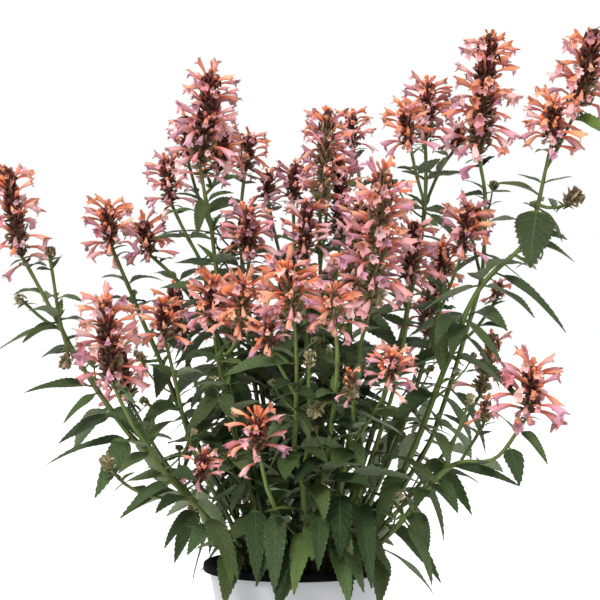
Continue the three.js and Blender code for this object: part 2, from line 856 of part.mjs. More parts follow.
// Both faces of the blade share its toothed edge, and part from each other along the midrib.
function leafSolid(leaf) {
  const frame = leafFrame(leaf);
  const large = frame.length >= LARGE_LEAF;
  const ribs = (large ? [0.2, 0.62] : [0.35]).map(shareOnLeaf);
  const teeth = large ? [0.13, 0.4, 0.68] : [0.2, 0.55];
  const edge = [{ share: shareOnLeaf(-0.02), width: PETIOLE_HALF_WIDTH }];
  teeth.forEach((tooth, i) => {
    edge.push({ share: shareOnLeaf(tooth), width: bladeWidth(tooth) * 0.5 * leaf.width });
    if (i + 1 === teeth.length) return;
    const notch = tooth + 0.09;
    edge.push({ share: shareOnLeaf(notch), width: bladeWidth(notch) * 0.5 * NOTCH * leaf.width });
  });

  const points = [leaf.root.clone(), leaf.tip.clone()];
  const chain = (list) => [{ share: 0, index: 0 }, ...list, { share: 1, index: 1 }];
  const put = (share, across, lift) => {
    points.push(bladePoint(frame, leaf, share, across, lift));
    return { share, index: points.length - 1 };
  };
  const upper = chain(ribs.map((share) => put(share, 0, BLADE_HALF_THICKNESS)));
  const lower = chain(ribs.map((share) => put(share, 0, -BLADE_HALF_THICKNESS)));
  const right = chain(edge.map(({ share, width }) => put(share, width, 0)));
  const left = chain(edge.map(({ share, width }) => put(share, -width, 0)));
  const triangles = [
    ...strip(upper, right, false),
    ...strip(upper, left, true),
    ...strip(lower, right, true),
    ...strip(lower, left, false),
  ];
  return solidOf({ points, triangles });
}

// Triangles between two rows of points that start and end together.
function strip(one, two, flip) {
  const triangles = [];
  let i = 0;
  let j = 0;
  while (i + 1 < one.length || j + 1 < two.length) {
    const stepOne = j + 1 >= two.length || (i + 1 < one.length && one[i + 1].share <= two[j + 1].share);
    const third = stepOne ? one[i + 1] : two[j + 1];
    const triangle = [one[i].index, two[j].index, third.index];
    if (new Set(triangle).size === 3) triangles.push(flip ? triangle.reverse() : triangle);
    if (stepOne) i += 1;
    else j += 1;
  }
  return triangles;
}

function leafBalls(leaf) {
  const frame = leafFrame(leaf);
  const balls = [];
  for (let distance = 6; distance < frame.length * PETIOLE_SHARE; distance += 4) {
    balls.push({ at: frame.curve.getPoint(distance / frame.length), radius: PETIOLE_ROOM, near: true });
  }
  const rows = Math.ceil((frame.length * (1 - PETIOLE_SHARE)) / BEAD_STEP);
  for (let row = 0; row <= rows; row += 1) {
    const share = row / rows;
    const half = bladeWidth(share) * 0.5 * leaf.width;
    const columns = Math.ceil((2 * half) / BEAD_STEP);
    for (let column = 0; column <= columns; column += 1) {
      const across = columns ? half * (2 * (column / columns) - 1) * 0.94 : 0;
      const at = bladePoint(frame, leaf, shareOnLeaf(share), across);
      balls.push({ at, radius: BLADE_ROOM, near: share < NEAR_SHARE });
    }
  }
  return balls;
}

function placedLeaf(stem, [, height, tip, width]) {
  const target = seen([0, 0, height]).z;
  let distance = 0;
  let root = placeBelowHead(stem, distance);
  while (root.z > target && placeBelowHead(stem, distance + 2)) {
    distance += 2;
    root = placeBelowHead(stem, distance);
  }
  return { root, tip: seen(tip), width, arch: 0.14, fold: 0.16, roll: 0 };
}

// The leaves of a stem: pairs that face away from each other, each pair turned a quarter from
// the last, small below the head and larger further down.
function leafPairs(stem, seed, low) {
  const draw = drawFrom(seed);
  const pairs = [];
  let distance = 13;
  let number = 0;
  while (placeBelowHead(stem, distance + low)) {
    const root = placeBelowHead(stem, distance);
    const grown = Math.min(1, distance / 210);
    const turned = 90 * number + 50 + 24 * (draw() - 0.5);
    for (const half of [0, 180]) {
      const size = 26 + 56 * Math.sqrt(grown) * (0.8 + 0.4 * draw());
      const rise = 22 - 62 * grown + 30 * (draw() - 0.5);
      const roll = 1.1 * (draw() - 0.5);
      pairs.push({ root, turned: turned + half, size, rise, roll, slim: 0.36 + 0.16 * grown });
    }
    distance += 24 + 13 * grown + 6 * draw();
    number += 1;
  }
  return pairs;
}

function leafFrom(pair, [turn, tilt, size]) {
  const angle = (pair.turned + turn) * DEGREE;
  const rise = (pair.rise + tilt) * DEGREE;
  const length = pair.size * size;
  const tip = pair.root.clone();
  tip.x += Math.cos(angle) * Math.cos(rise) * length;
  tip.y += Math.sin(angle) * Math.cos(rise) * length;
  tip.z += Math.sin(rise) * length;
  return { root: pair.root, tip, width: length * pair.slim, arch: 0.16, fold: 0.18, roll: pair.roll };
}

// Puts the plant together

function growPlant() {
  const room = new Room();
  const sprays = SPRAYS.map((spray) => {
    const stems = [stemOf(spray), ...spray.twigs.map((twig) => twigOf(spray, twig))];
    return { name: spray.name, stems, leaves: [] };
  });
  for (const spray of sprays) {
    spray.stems.forEach((stem, i) => {
      room.add(`${spray.name} stem`, stemBalls(stem));
      stem.owner = `${spray.name} head ${i}`;
      room.add(stem.owner, columnBalls(stem));
    });
  }
  for (const spray of sprays) {
    for (const stem of spray.stems) {
      stem.flowers = [];
      const count = Math.round(stem.head.flowers * FLOWER_SHARE);
      for (let number = 0; number < count; number += 1) {
        for (const attempt of TRIES) {
          const line = flowerLine(stem, number, attempt);
          const balls = flowerBalls(line);
          if (room.touched(balls, stem.owner)) continue;
          room.add(stem.owner, balls);
          stem.flowers.push(line);
          break;
        }
      }
    }
  }
  const settle = (spray, options) => {
    for (const leaf of options) {
      const balls = leafBalls(leaf);
      if (outOfBounds(balls) || room.touched(balls, null, `${spray.name} stem`)) continue;
      room.add(`${spray.name} leaf`, balls);
      spray.leaves.push(leaf);
      return;
    }
  };
  for (const place of PLACED_LEAVES) {
    const spray = sprays.find(({ name }) => name === place[0]);
    const leaf = placedLeaf(spray.stems[0], place);
    settle(spray, [leaf, ...shifted(leaf)]);
  }
  const pairs = sprays.flatMap((spray, i) => spray.stems.flatMap((stem, j) => {
    const low = j === 0 ? 22 : 12;
    return leafPairs(stem, 1000 + 97 * i + 13 * j, low).map((pair) => ({ spray, pair }));
  }));
  pairs.sort((a, b) => b.pair.size - a.pair.size);
  for (const { spray, pair } of pairs) {
    if (pair.size < LEAST_LEAF) continue;
    settle(spray, TRIES.map((attempt) => leafFrom(pair, attempt)));
  }
  return sprays;
}

// A placed leaf that is in the way moves its tip a little, or is shorter.
function shifted(leaf) {
  const moves = [
    [0, -14, 0], [0, 14, 0], [0, 0, -12], [0, 0, 12], [-10, -20, -6], [10, -20, -6], [0, -30, 8],
  ];
  const tips = moves.map(([x, y, z]) => leaf.tip.clone().add(new THREE.Vector3(x, y, z)));
  tips.push(leaf.root.clone().lerp(leaf.tip, 0.78));
  return tips.map((tip) => ({ ...leaf, tip }));
}

// Pots

function potSolid(profile, sides) {
  const outline = profile.map(([r, z]) => new THREE.Vector2(r, z));
  const geometry = new THREE.LatheGeometry(outline, sides);
  geometry.rotateX(Math.PI / 2);
  return solidOfGeometry(geometry);
}

function outerPot() {
  const top = LIP_TOP - LIP_HEIGHT - GAP;
  const w = OUTER_WALL;
  return potSolid([
    [0, 0], [OUTER_FOOT_RADIUS - 2, 0], [OUTER_FOOT_RADIUS, 2],
    [OUTER_WAIST_RADIUS, OUTER_WAIST_HEIGHT], [OUTER_TOP_RADIUS, top],
    [OUTER_TOP_RADIUS - w, top], [OUTER_WAIST_RADIUS - w, OUTER_WAIST_HEIGHT],
    [OUTER_FOOT_RADIUS - w, OUTER_FLOOR], [0, OUTER_FLOOR], [0, 0],
  ], POT_SIDES);
}

// The nursery pot's outer radius at a height, clear of the outer pot's wall.
function nurseryRadius(height) {
  const upper = height >= OUTER_WAIST_HEIGHT;
  const foot = upper ? [OUTER_WAIST_RADIUS, OUTER_WAIST_HEIGHT] : [OUTER_FOOT_RADIUS, 0];
  const top = upper ? [OUTER_TOP_RADIUS, LIP_TOP - LIP_HEIGHT] : [OUTER_WAIST_RADIUS, OUTER_WAIST_HEIGHT];
  const share = (height - foot[1]) / (top[1] - foot[1]);
  return foot[0] + (top[0] - foot[0]) * share - OUTER_WALL - NURSERY_CLEAR;
}

function nurseryPot() {
  const foot = NURSERY_FOOT_HEIGHT;
  const neck = LIP_TOP - LIP_HEIGHT;
  const waist = OUTER_WAIST_HEIGHT;
  const w = NURSERY_WALL;
  return potSolid([
    [0, foot], [nurseryRadius(foot), foot], [nurseryRadius(waist), waist], [nurseryRadius(neck), neck],
    [LIP_RADIUS, neck], [LIP_RADIUS, LIP_TOP - LIP_ROLL], [LIP_RADIUS - LIP_ROLL * 0.5, LIP_TOP],
    [LIP_RADIUS - LIP_ROLL * 1.6, LIP_TOP], [nurseryRadius(neck) - w, neck + 1],
    [nurseryRadius(waist) - w, waist], [nurseryRadius(foot) - w, foot + w], [0, foot + w], [0, foot],
  ], POT_SIDES);
}

function soil(stems) {
  const inside = NURSERY_WALL + GAP;
  const foot = NURSERY_FOOT_HEIGHT + NURSERY_WALL + GAP;
  const edge = SOIL_TOP - SOIL_DOME;
  let solid = potSolid([
    [0, foot], [nurseryRadius(foot) - inside - 1, foot],
    [nurseryRadius(OUTER_WAIST_HEIGHT) - inside, OUTER_WAIST_HEIGHT],
    [nurseryRadius(edge) - inside - 0.4, edge], [nurseryRadius(edge) * 0.6, SOIL_TOP - 1], [0, SOIL_TOP],
    [0, foot],
  ], POT_SIDES);
  for (const stem of stems) {
    const radius = stem.root + GAP * Math.SQRT2;
    const deep = ROOT_DEPTH + GAP;
    const hole = new THREE.CylinderGeometry(radius, radius, 2 * deep, STEM_SIDES);
    hole.rotateX(Math.PI / 2);
    hole.translate(stem.line[0].x, stem.line[0].y, SOIL_TOP);
    solid = solid.subtract(solidOfGeometry(hole));
  }
  return solid;
}

// Nodes

const LOOKS = {
  white: { color: 0xe8e9ea, roughness: 0.45, metalness: 0 },
  black: { color: 0x17181a, roughness: 0.55, metalness: 0 },
  earth: { color: 0x2b2019, roughness: 0.95, metalness: 0 },
  leaf: { color: 0x40573a, roughness: 0.6, metalness: 0 },
  flower: { color: 0xc77f7d, roughness: 0.6, metalness: 0 },
};

const plant = new THREE.Group();

function addNode(name, solid, look) {
  const mesh = new THREE.Mesh(geometryOf(solid), new THREE.MeshStandardMaterial(LOOKS[look]));
  mesh.name = name;
  plant.add(mesh);
}

const sprays = growPlant();

function headSolids(stem) {
  const large = stem.head.girth >= LARGE_HEAD;
  const column = columnSolid(stem, large ? 8 : 6, large ? 16 : 14);
  return [column, ...stem.flowers.map((line) => flowerSolid(line, stem.head.name === null))];
}

addNode('outer_pot', outerPot(), 'white');
addNode('nursery_pot', nurseryPot(), 'black');
addNode('soil', soil(sprays.map(({ stems }) => stems[0])), 'earth');
for (const spray of sprays) {
  const fused = spray.stems.filter(({ head }) => head.name === null).flatMap(headSolids);
  const wood = spray.stems.map((stem, i) => stemSolid(stem, i === 0));
  const solids = [...wood, ...spray.leaves.map(leafSolid), ...fused];
  addNode(`stem_${spray.name}`, wasm.Manifold.union(solids), 'leaf');
  for (const stem of spray.stems) {
    if (stem.head.name === null) continue;
    addNode(`spike_${stem.head.name}`, wasm.Manifold.union(headSolids(stem)), 'flower');
  }
}

export default plant;
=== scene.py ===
"""A giant hyssop in flower, in a black nursery pot that stands in a plain white outer pot.

The plant grows here by the same tables and rules as its solids, in millimetres, and then gets what
they leave out: small leaves, side shoots, more flowers, calyxes, stamens and crumbs of soil.
Meshes are written in metres. The origin is the middle of the outer pot's foot; the front is -Y.
"""

import logging
import math
from collections.abc import Iterable
from dataclasses import dataclass, field, replace
from enum import Enum

import bpy
import numpy as np

from mathutils import Matrix, Vector


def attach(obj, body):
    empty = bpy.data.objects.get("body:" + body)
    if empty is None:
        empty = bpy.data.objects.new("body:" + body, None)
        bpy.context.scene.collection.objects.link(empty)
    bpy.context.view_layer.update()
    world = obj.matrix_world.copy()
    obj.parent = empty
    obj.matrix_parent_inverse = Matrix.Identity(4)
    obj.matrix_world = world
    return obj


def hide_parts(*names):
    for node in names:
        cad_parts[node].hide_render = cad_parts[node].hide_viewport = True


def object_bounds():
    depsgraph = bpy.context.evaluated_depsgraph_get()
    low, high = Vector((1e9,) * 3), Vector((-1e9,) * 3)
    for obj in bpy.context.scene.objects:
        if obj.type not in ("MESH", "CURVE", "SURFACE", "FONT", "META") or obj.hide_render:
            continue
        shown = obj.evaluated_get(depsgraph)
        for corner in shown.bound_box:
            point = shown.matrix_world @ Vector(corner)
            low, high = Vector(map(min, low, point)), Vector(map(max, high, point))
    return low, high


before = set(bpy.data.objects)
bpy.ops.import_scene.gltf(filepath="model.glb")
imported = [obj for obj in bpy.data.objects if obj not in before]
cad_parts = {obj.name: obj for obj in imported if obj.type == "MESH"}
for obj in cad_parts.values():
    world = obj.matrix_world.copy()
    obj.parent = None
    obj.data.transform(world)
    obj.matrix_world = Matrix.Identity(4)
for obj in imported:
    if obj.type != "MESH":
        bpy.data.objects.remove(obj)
CAD_BOX = [list(corner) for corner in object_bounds()]

Array = np.ndarray
Place = tuple[float, float, float]
LOG = logging.getLogger("potted_giant_hyssop")
METRES = 0.001
UP = np.array([0.0, 0.0, 1.0])
EAST = np.array([1.0, 0.0, 0.0])
NORTH = np.array([0.0, 1.0, 0.0])
TURN = 2 * math.pi

# Stems: how they leave the soil, their radii, and the longest steps of their lines.
SOIL_TOP = 170.0
FREE_FOOT = 6.0
ROOT_DEPTH = 14.0
STEM_TIP_RADIUS = 1.9
STEM_STEP = 62.0
TWIG_RADIUS = 1.7
TWIG_TIP_RADIUS = 1.45
TWIG_STEP = 40.0
# The last stretch of a stem, which points at the top of its head.
AIMED_END = 7.0
# The column of calyxes: its base as a share of its girth, and how it widens and narrows.
COLUMN_BASE = 0.45
COLUMN_RISE = 5
COLUMN_TAPER = 0.5
# The shortest leaf that the solids hold, the youngest leaf, and the solids' share of the flowers.
LEAST_SHOWN = 75.5
SMALLEST_PAIR = 26
FLOWER_SHARE = 0.38
# Balls stand for what already has its place: how far apart they are and how far they stand out.
BEAD_STEP = 5.0
BEAD_MARGIN = 1.0
# A leaf's stalk as a share of its length, where its balls start, their steps and their radii.
PETIOLE_SHARE = 0.15
PETIOLE_START = 6
PETIOLE_STEP = 4
PETIOLE_ROOM = 2.0
# The balls of a blade, the share of it that may pass near its stem, and the largest ball of all.
BLADE_ROOM = 3.1
COVERED_WIDTH = 0.94
NEAR_SHARE = 0.4
LARGEST_BALL = 17.5
# The nursery pot's lip, how clear of it leaves stay, and how wide they may spread above it.
LIP_RADIUS = 93.0
LIP_TOP = 184.0
POT_CLEAR = 2.0
LOWEST_LEAF = 60.0
LIP_SPREAD = 130.0
SPREAD_RISE = 1.25
LEAST_SPREAD = 150.0
# The places in the tables are seen from this far in front of the pot's axis and this high.
VIEWER_DISTANCE = 2600.0
VIEWER_HEIGHT = 540.0


class Mood(Enum):
    """How a head looks: (share of orange flowers, how green or dry its calyxes are)."""

    MIXED = (0.5, 0.15)
    ORANGE = (0.8, 0.1)
    PINK = (0.25, 0.12)
    GREEN = (0.42, 0.6)
    RED = (1.0, 0.0)
    FRESH = (0.6, 0.7)
    FADED = (0.4, 0.5)
    DRY = (0.4, 1.0)


@dataclass(frozen=True)
class Head:
    """A flower spike or a small bud head. Its base is the end of its stem.

    Sizes are in millimetres. A head with a name stands for a solid of its own. Its fullness scales
    the number of flowers that only this file adds.
    """

    top: Place
    girth: float
    flowers: int = 0
    reach: float = 0.0
    name: str | None = None
    mood: Mood = Mood.MIXED
    fullness: float = 1.0


@dataclass(frozen=True)
class Twig:
    """A branch that starts at the numbered place of its stem's path."""

    start: int
    path: tuple[Place, ...]
    head: Head


@dataclass(frozen=True)
class Spray:
    """One leafy stem from its crown place in the soil, with its branches."""

    name: str
    crown: tuple[float, float]
    radius: float
    path: tuple[Place, ...]
    head: Head
    twigs: tuple[Twig, ...] = ()


SPRAYS = (
    Spray("far_left", (-34, -4), 3.2, (
        (-74, -12, 201), (-99, -16, 241), (-131, -20, 276), (-169, -24, 313), (-196, -27, 351),
        (-220, -29, 389), (-234, -30, 416), (-250, -30, 446), (-266, -30, 476),
        (-274, -30, 489),
    ), Head((-291, -30, 581), 11, 16, 22, "far_left"), (
        Twig(6, ((-238, -36, 434), (-243, -42, 471), (-246, -44, 488)),
             Head((-246, -45, 500), 5, mood=Mood.FADED)),
        Twig(6, ((-228, -44, 394),), Head((-233, -47, 376), 7, mood=Mood.FADED)),
    )),
    Spray("left_front", (-36, -30), 3, (
        (-62, -42, 198), (-106, -58, 246), (-131, -66, 271), (-161, -75, 316),
        (-174, -79, 341), (-183, -81, 361),
    ), Head((-192, -84, 448), 12, 20, 25, "left_front"), (
        Twig(1, ((-146, -72, 248), (-172, -76, 260), (-184, -77, 274)),
             Head((-194, -78, 291), 7, mood=Mood.DRY)),
        Twig(1, ((-96, -76, 262),), Head((-93, -84, 292), 8, 8, 16, mood=Mood.PINK)),
    )),
    Spray("left_mid", (-30, 16), 3, (
        (-46, 18, 201), (-91, 22, 286), (-116, 25, 336), (-136, 27, 386), (-154, 29, 426),
        (-168, 30, 461), (-178, 30, 484), (-184, 30, 499),
    ), Head((-189, 30, 541), 10, 14, 21, "left_mid")),
    Spray("left_back", (-20, 28), 2.8, (
        (-34, 34, 266), (-46, 42, 326), (-61, 48, 376), (-81, 53, 416), (-106, 57, 450),
        (-126, 59, 474), (-146, 60, 491),
    ), Head((-154, 60, 526), 9, 11, 20, "left_back")),
    Spray("left_upper", (-26, 2), 2.8, (
        (-44, 12, 246), (-56, 18, 306), (-64, 22, 336), (-70, 24, 366), (-76, 26, 401),
        (-84, 28, 432), (-94, 29, 484), (-110, 30, 511), (-125, 30, 543),
    ), Head((-131, 30, 588), 9, 12, 18, "left_upper", Mood.PINK)),
    Spray("crest_left", (-18, -8), 3, (
        (-31, -8, 216), (-41, -6, 276), (-56, -4, 346), (-66, -2, 396), (-74, 0, 446),
        (-81, 0, 484), (-84, 0, 516), (-91, 0, 551), (-96, 0, 581),
    ), Head((-83, 0, 676), 13, 24, 24, "crest_left", Mood.PINK), (
        Twig(7, ((-84, 28, 558), (-77, 56, 574)),
             Head((-74, 60, 616), 10, 12, 18, mood=Mood.ORANGE)),
        Twig(6, ((-99, 38, 552), (-108, 58, 586)), Head((-110, 62, 631), 8, 9, 16)),
    )),
    Spray("back_left", (-12, 34), 2.8, (
        (-26, 46, 256), (-39, 64, 346), (-49, 80, 416), (-54, 90, 486), (-55, 96, 541),
        (-51, 100, 574),
    ), Head((-46, 100, 611), 9, 11, 18, "back_left")),
    Spray("back_mid", (0, 38), 2.8, (
        (0, 48, 266), (1, 60, 346), (2, 70, 416), (-1, 77, 486), (-3, 80, 546),
    ), Head((1, 80, 583), 9, 11, 18, "back_mid", Mood.PINK), (
        Twig(2, ((-6, 92, 456), (-20, 112, 506), (-28, 120, 546)), Head((-28, 120, 574), 8, 7, 16)),
    )),
    Spray("back_right", (14, 36), 2.8, (
        (27, 54, 286), (42, 74, 366), (58, 92, 446), (66, 102, 516), (65, 107, 560),
        (57, 110, 598),
    ), Head((54, 110, 632), 8, 10, 18, "back_right")),
    Spray("centre_tall", (12, 14), 3, (
        (18, 16, 240), (26, 18, 316), (29, 20, 396), (24, 20, 476), (24, 20, 531),
    ), Head((32, 20, 633), 11, 18, 17, "centre_tall", Mood.GREEN)),
    Spray("centre_mid", (6, -6), 2.6, (
        (12, -8, 266), (14, -9, 346), (9, -8, 426), (8, -8, 484),
    ), Head((11, -8, 546), 9, 12, 20, "centre_mid", Mood.PINK)),
    Spray("centre_left", (-8, 8), 2.6, (
        (-18, 10, 246), (-30, 8, 326), (-42, 4, 406), (-50, 0, 451), (-47, 0, 486),
    ), Head((-49, 0, 538), 10, 16, 22, "centre_left", Mood.PINK)),
    Spray("front_left", (-20, -28), 2.8, (
        (-46, -42, 256), (-66, -52, 326), (-78, -58, 386), (-83, -60, 424),
    ), Head((-83, -62, 466), 10, 14, 21, "front_left", Mood.ORANGE)),
    Spray("front_centre", (6, -42), 2.8, (
        (13, -52, 201), (8, -60, 236), (6, -66, 271), (-3, -75, 296), (0, -84, 320),
        (0, -94, 350), (1, -102, 386), (-2, -109, 424),
    ), Head((-9, -113, 480), 11, 20, 25, "front_centre", Mood.FRESH), (
        Twig(5, ((-12, -98, 372), (-26, -102, 396)), Head((-30, -104, 424), 8, 9, 18)),
    )),
    Spray("front_mid", (18, -40), 2.6, (
        (25, -56, 246), (32, -74, 296), (39, -94, 346), (42, -110, 386), (39, -122, 421),
    ), Head((37, -128, 456), 9, 13, 22, "front_mid", Mood.FRESH), (
        Twig(2, ((26, -112, 342),), Head((14, -120, 330), 7, mood=Mood.DRY)),
    )),
    Spray("front_tall", (34, -34), 3.2, (
        (42, -48, 246), (52, -64, 296), (57, -74, 326), (62, -84, 366), (65, -92, 406),
        (74, -98, 434),
    ), Head((89, -104, 581), 13, 34, 27, "front_tall", Mood.GREEN), (
        Twig(1, ((68, -86, 316), (86, -108, 346), (95, -120, 366)),
             Head((96, -124, 392), 9, 12, 18)),
        Twig(1, ((58, -96, 318), (56, -120, 346)),
             Head((52, -126, 374), 7, 6, 14, mood=Mood.GREEN, fullness=0.3)),
    )),
    Spray("centre_right", (28, -16), 2.8, (
        (44, -26, 276), (50, -34, 346), (54, -44, 396), (55, -54, 446),
    ), Head((66, -58, 546), 11, 18, 22, "centre_right", Mood.GREEN)),
    Spray("right_front", (41, -26), 2.8, (
        (54, -28, 226), (79, -34, 296), (98, -38, 356), (110, -41, 416), (114, -42, 461),
    ), Head((118, -42, 526), 10, 16, 20, "right_front", Mood.PINK)),
    Spray("right_tall", (30, 10), 3.2, (
        (49, 10, 226), (68, 14, 286), (87, 18, 346), (102, 22, 396), (114, 26, 446),
        (125, 28, 506), (129, 30, 541), (130, 38, 576), (129, 40, 604),
    ), Head((132, 40, 664), 10, 18, 22, "right_tall"), (
        Twig(6, ((120, 8, 571), (114, -18, 600)),
             Head((107, -20, 638), 9, 13, 20, "right_inner", Mood.ORANGE)),
        Twig(6, ((144, 50, 578), (160, 62, 598)), Head((163, 64, 622), 8, 6, 13, mood=Mood.RED)),
    )),
    Spray("right_mid", (42, -2), 2.6, (
        (94, -4, 286), (117, -8, 346), (132, -10, 398), (142, -10, 430), (147, -10, 471),
    ), Head((145, -10, 500), 9, 10, 19, "right_mid", Mood.ORANGE)),
    Spray("crest_right", (42, 14), 3, (
        (72, 18, 206), (106, 24, 256), (136, 26, 306), (156, 26, 366), (171, 22, 416),
        (186, 14, 466), (189, 6, 511), (189, 2, 556), (182, 0, 590),
    ), Head((193, 0, 714), 13, 30, 26, "crest_right"), (
        Twig(5, ((180, 30, 488), (176, 38, 508)), Head((179, 40, 540), 9, 8, 16, mood=Mood.PINK)),
    )),
    Spray("right_orange", (48, -16), 3.5, (
        (76, -20, 216), (100, -22, 256), (126, -26, 316), (148, -30, 376), (159, -32, 400),
        (168, -34, 430), (183, -37, 458), (204, -40, 481), (219, -43, 491), (234, -47, 511),
        (242, -52, 541), (249, -56, 576), (256, -60, 606),
    ), Head((256, -60, 645), 10, 17, 22, "right_orange", Mood.ORANGE), (
        Twig(11, ((266, -44, 606), (281, -40, 638)),
             Head((300, -40, 718), 13, 22, 24, "far_right")),
        Twig(10, ((256, -44, 534), (270, -43, 541)), Head((285, -42, 556), 9, mood=Mood.FADED)),
        Twig(8, ((234, -28, 482),), Head((243, -24, 498), 6, mood=Mood.FADED)),
        Twig(4, ((176, -10, 412), (190, 12, 430), (200, 26, 446)), Head((202, 30, 464), 6, 6, 12)),
    )),
    Spray("low_right", (52, -34), 2.8, (
        (104, -42, 221), (129, -46, 254), (149, -50, 276), (166, -52, 286), (189, -55, 282),
        (202, -57, 286), (211, -59, 298), (221, -60, 313), (233, -60, 331),
    ), Head((236, -60, 381), 11, 22, 27, "low_right", fullness=0.65), (
        Twig(3, ((178, -40, 304), (188, -34, 322)),
             Head((190, -32, 346), 7, 7, 16, mood=Mood.GREEN, fullness=0.3)),
    )),
    Spray("low_front", (-4, -46), 2.4, (
        (-16, -68, 226), (-29, -84, 256), (-38, -96, 294),
    ), Head((-41, -102, 330), 10, 16, 23, "low_front", fullness=0.5)),
    Spray("inner_left", (-48, -16), 2.6, (
        (-66, -16, 226), (-96, -24, 276), (-113, -30, 326), (-121, -34, 366), (-131, -40, 407),
    ), Head((-134, -41, 444), 9, 11, 18, "inner_left", Mood.ORANGE)),
    Spray("hind_left", (-26, 44), 2.6, (
        (-52, 84, 246), (-88, 130, 326), (-112, 166, 396),
    ), Head((-124, 184, 462), 11, 14, 22, fullness=0.75)),
    Spray("hind_mid", (4, 52), 2.6, (
        (10, 98, 256), (20, 152, 336), (28, 190, 406),
    ), Head((32, 208, 478), 11, 14, 22, fullness=0.75)),
    Spray("hind_right", (34, 42), 2.6, (
        (70, 84, 246), (108, 126, 330), (130, 156, 410),
    ), Head((138, 170, 482), 11, 14, 22, fullness=0.75)),
    Spray("side_right", (50, 28), 2.6, (
        (104, 58, 236), (152, 86, 296), (184, 106, 350),
    ), Head((198, 114, 414), 10, 12, 22, mood=Mood.GREEN, fullness=0.0)),
    Spray("side_left", (-46, 24), 2.6, (
        (-92, 52, 232), (-138, 82, 292), (-166, 102, 344),
    ), Head((-180, 110, 404), 10, 12, 22, fullness=0.6)),
)
# Leaves of the solids at places of their own: spray, height of the root as seen, tip and width.
PLACED_LEAVES = (
    ("right_orange", (
        (541, (234, -92, 478), 47), (540, (266, -20, 504), 16), (551, (199, -72, 562), 14),
        (476, (270, -74, 413), 18), (481, (242, -4, 476), 14), (508, (278, -70, 484), 16),
        (604, (211, -74, 616), 12), (430, (209, -52, 376), 18), (418, (204, -2, 356), 16),
        (426, (154, -76, 390), 22),
    )),
    ("crest_right", ((556, (166, -26, 566), 12), (552, (160, 22, 546), 14))),
    ("crest_left", ((548, (-98, -30, 511), 17), (544, (-62, -22, 526), 18))),
    ("left_upper", ((509, (-146, 20, 506), 12),)),
    ("far_left", (
        (361, (-272, -50, 353), 22), (356, (-233, -58, 322), 14), (421, (-298, -14, 396), 17),
        (426, (-272, -66, 404), 12), (488, (-251, -48, 466), 12), (334, (-238, -44, 302), 24),
        (308, (-251, -6, 280), 20),
    )),
    ("left_front", (
        (301, (-178, -112, 272), 20), (272, (-171, -92, 232), 18), (244, (-132, -96, 184), 18),
        (226, (-109, -104, 190), 24), (204, (-72, -124, 140), 30),
    )),
    ("right_tall", ((536, (179, 36, 500), 17), (512, (176, 60, 482), 16))),
    ("right_mid", ((424, (146, -48, 372), 22),)),
    ("low_right", (
        (306, (225, -98, 258), 24), (322, (252, -96, 281), 14), (318, (194, -80, 336), 13),
        (284, (224, -72, 247), 18), (280, (184, -24, 262), 15), (268, (162, -96, 232), 24),
        (242, (138, -100, 184), 28),
    )),
    ("front_mid", (
        (270, (76, -126, 258), 30), (283, (94, -116, 206), 35), (236, (57, -128, 190), 32),
    )),
    ("front_tall", ((246, (100, -124, 168), 31),)),
    ("front_centre", (
        (389, (-72, -120, 370), 27), (250, (-58, -98, 246), 26), (214, (-18, -136, 136), 30),
    )),
    ("front_mid", ((214, (16, -138, 132), 31),)),
    ("front_tall", ((216, (54, -130, 138), 26),)),
    ("right_front", ((214, (84, -112, 142), 27),)),
    ("low_front", ((232, (-40, -124, 158), 22),)),
)
# Small twigs that only this file adds, some with flowers, by the spray that carries them.
LATE_TWIGS = (
    ("front_left", Twig(2, ((-62, -70, 396), (-55, -76, 418)),
                        Head((-51, -84, 464), 10, 20, 23, mood=Mood.FRESH))),
    ("centre_tall", Twig(3, ((30, 40, 524), (32, 43, 562)), Head((32, 43, 638), 7, 12, 25))),
    ("right_mid", Twig(3, ((158, -14, 470), (166, -16, 492)), Head((172, -18, 542), 9, 13, 22))),
    ("centre_tall", Twig(2, ((42, 36, 480), (44, 38, 506)),
                         Head((44, 38, 588), 9, 14, 20, mood=Mood.PINK))),
    ("far_left", Twig(6, ((-251, -20, 424), (-272, -14, 444)), Head((-281, -12, 450), 4, mood=Mood.DRY))),
    ("left_mid", Twig(3, ((-152, 20, 384),), Head((-158, 17, 394), 4, mood=Mood.GREEN))),
    ("left_mid", Twig(2, ((-146, 12, 340),), Head((-156, 8, 348), 4, mood=Mood.DRY))),
    ("front_centre", Twig(2, ((14, -84, 312), (13, -112, 376)), Head((15, -117, 396), 5, mood=Mood.DRY))),
    ("low_right", Twig(2, ((158, -66, 304), (172, -70, 340)), Head((176, -71, 353), 4, mood=Mood.DRY))),
)
# Leaves that only this file adds at places of their own: spray, stem, height of the root, tip,
# width and how fresh their green is.
LATE_LEAVES = (
    ("right_orange", 1, 626, (311, -62, 609), 30, 1.1),
    ("left_front", 0, 214, (-54, -98, 170), 20, 0.8),
    ("front_centre", 0, 226, (-2, -118, 152), 25, 0.5),
    ("front_tall", 0, 226, (68, -122, 152), 24, 0.6),
    ("front_mid", 0, 252, (22, -132, 176), 26, 0.35),
    ("front_centre", 0, 240, (-28, -106, 234), 12, 1.0),
    ("front_centre", 0, 268, (36, -112, 262), 13, 0.9),
    ("front_tall", 0, 262, (44, -138, 172), 28, 0.5),
    ("right_front", 0, 232, (96, -96, 168), 22, 0.6),
    ("left_front", 0, 238, (-58, -130, 152), 26, 0.4),
    ("front_left", 0, 246, (-40, -134, 150), 26, 0.4),
    ("low_front", 0, 246, (-22, -138, 152), 26, 0.5),
    ("low_front", 0, 214, (-8, -128, 148), 24, 0.4),
    ("front_tall", 0, 210, (56, -122, 146), 26, 0.4),
    ("right_front", 0, 252, (76, -126, 156), 26, 0.4),
)
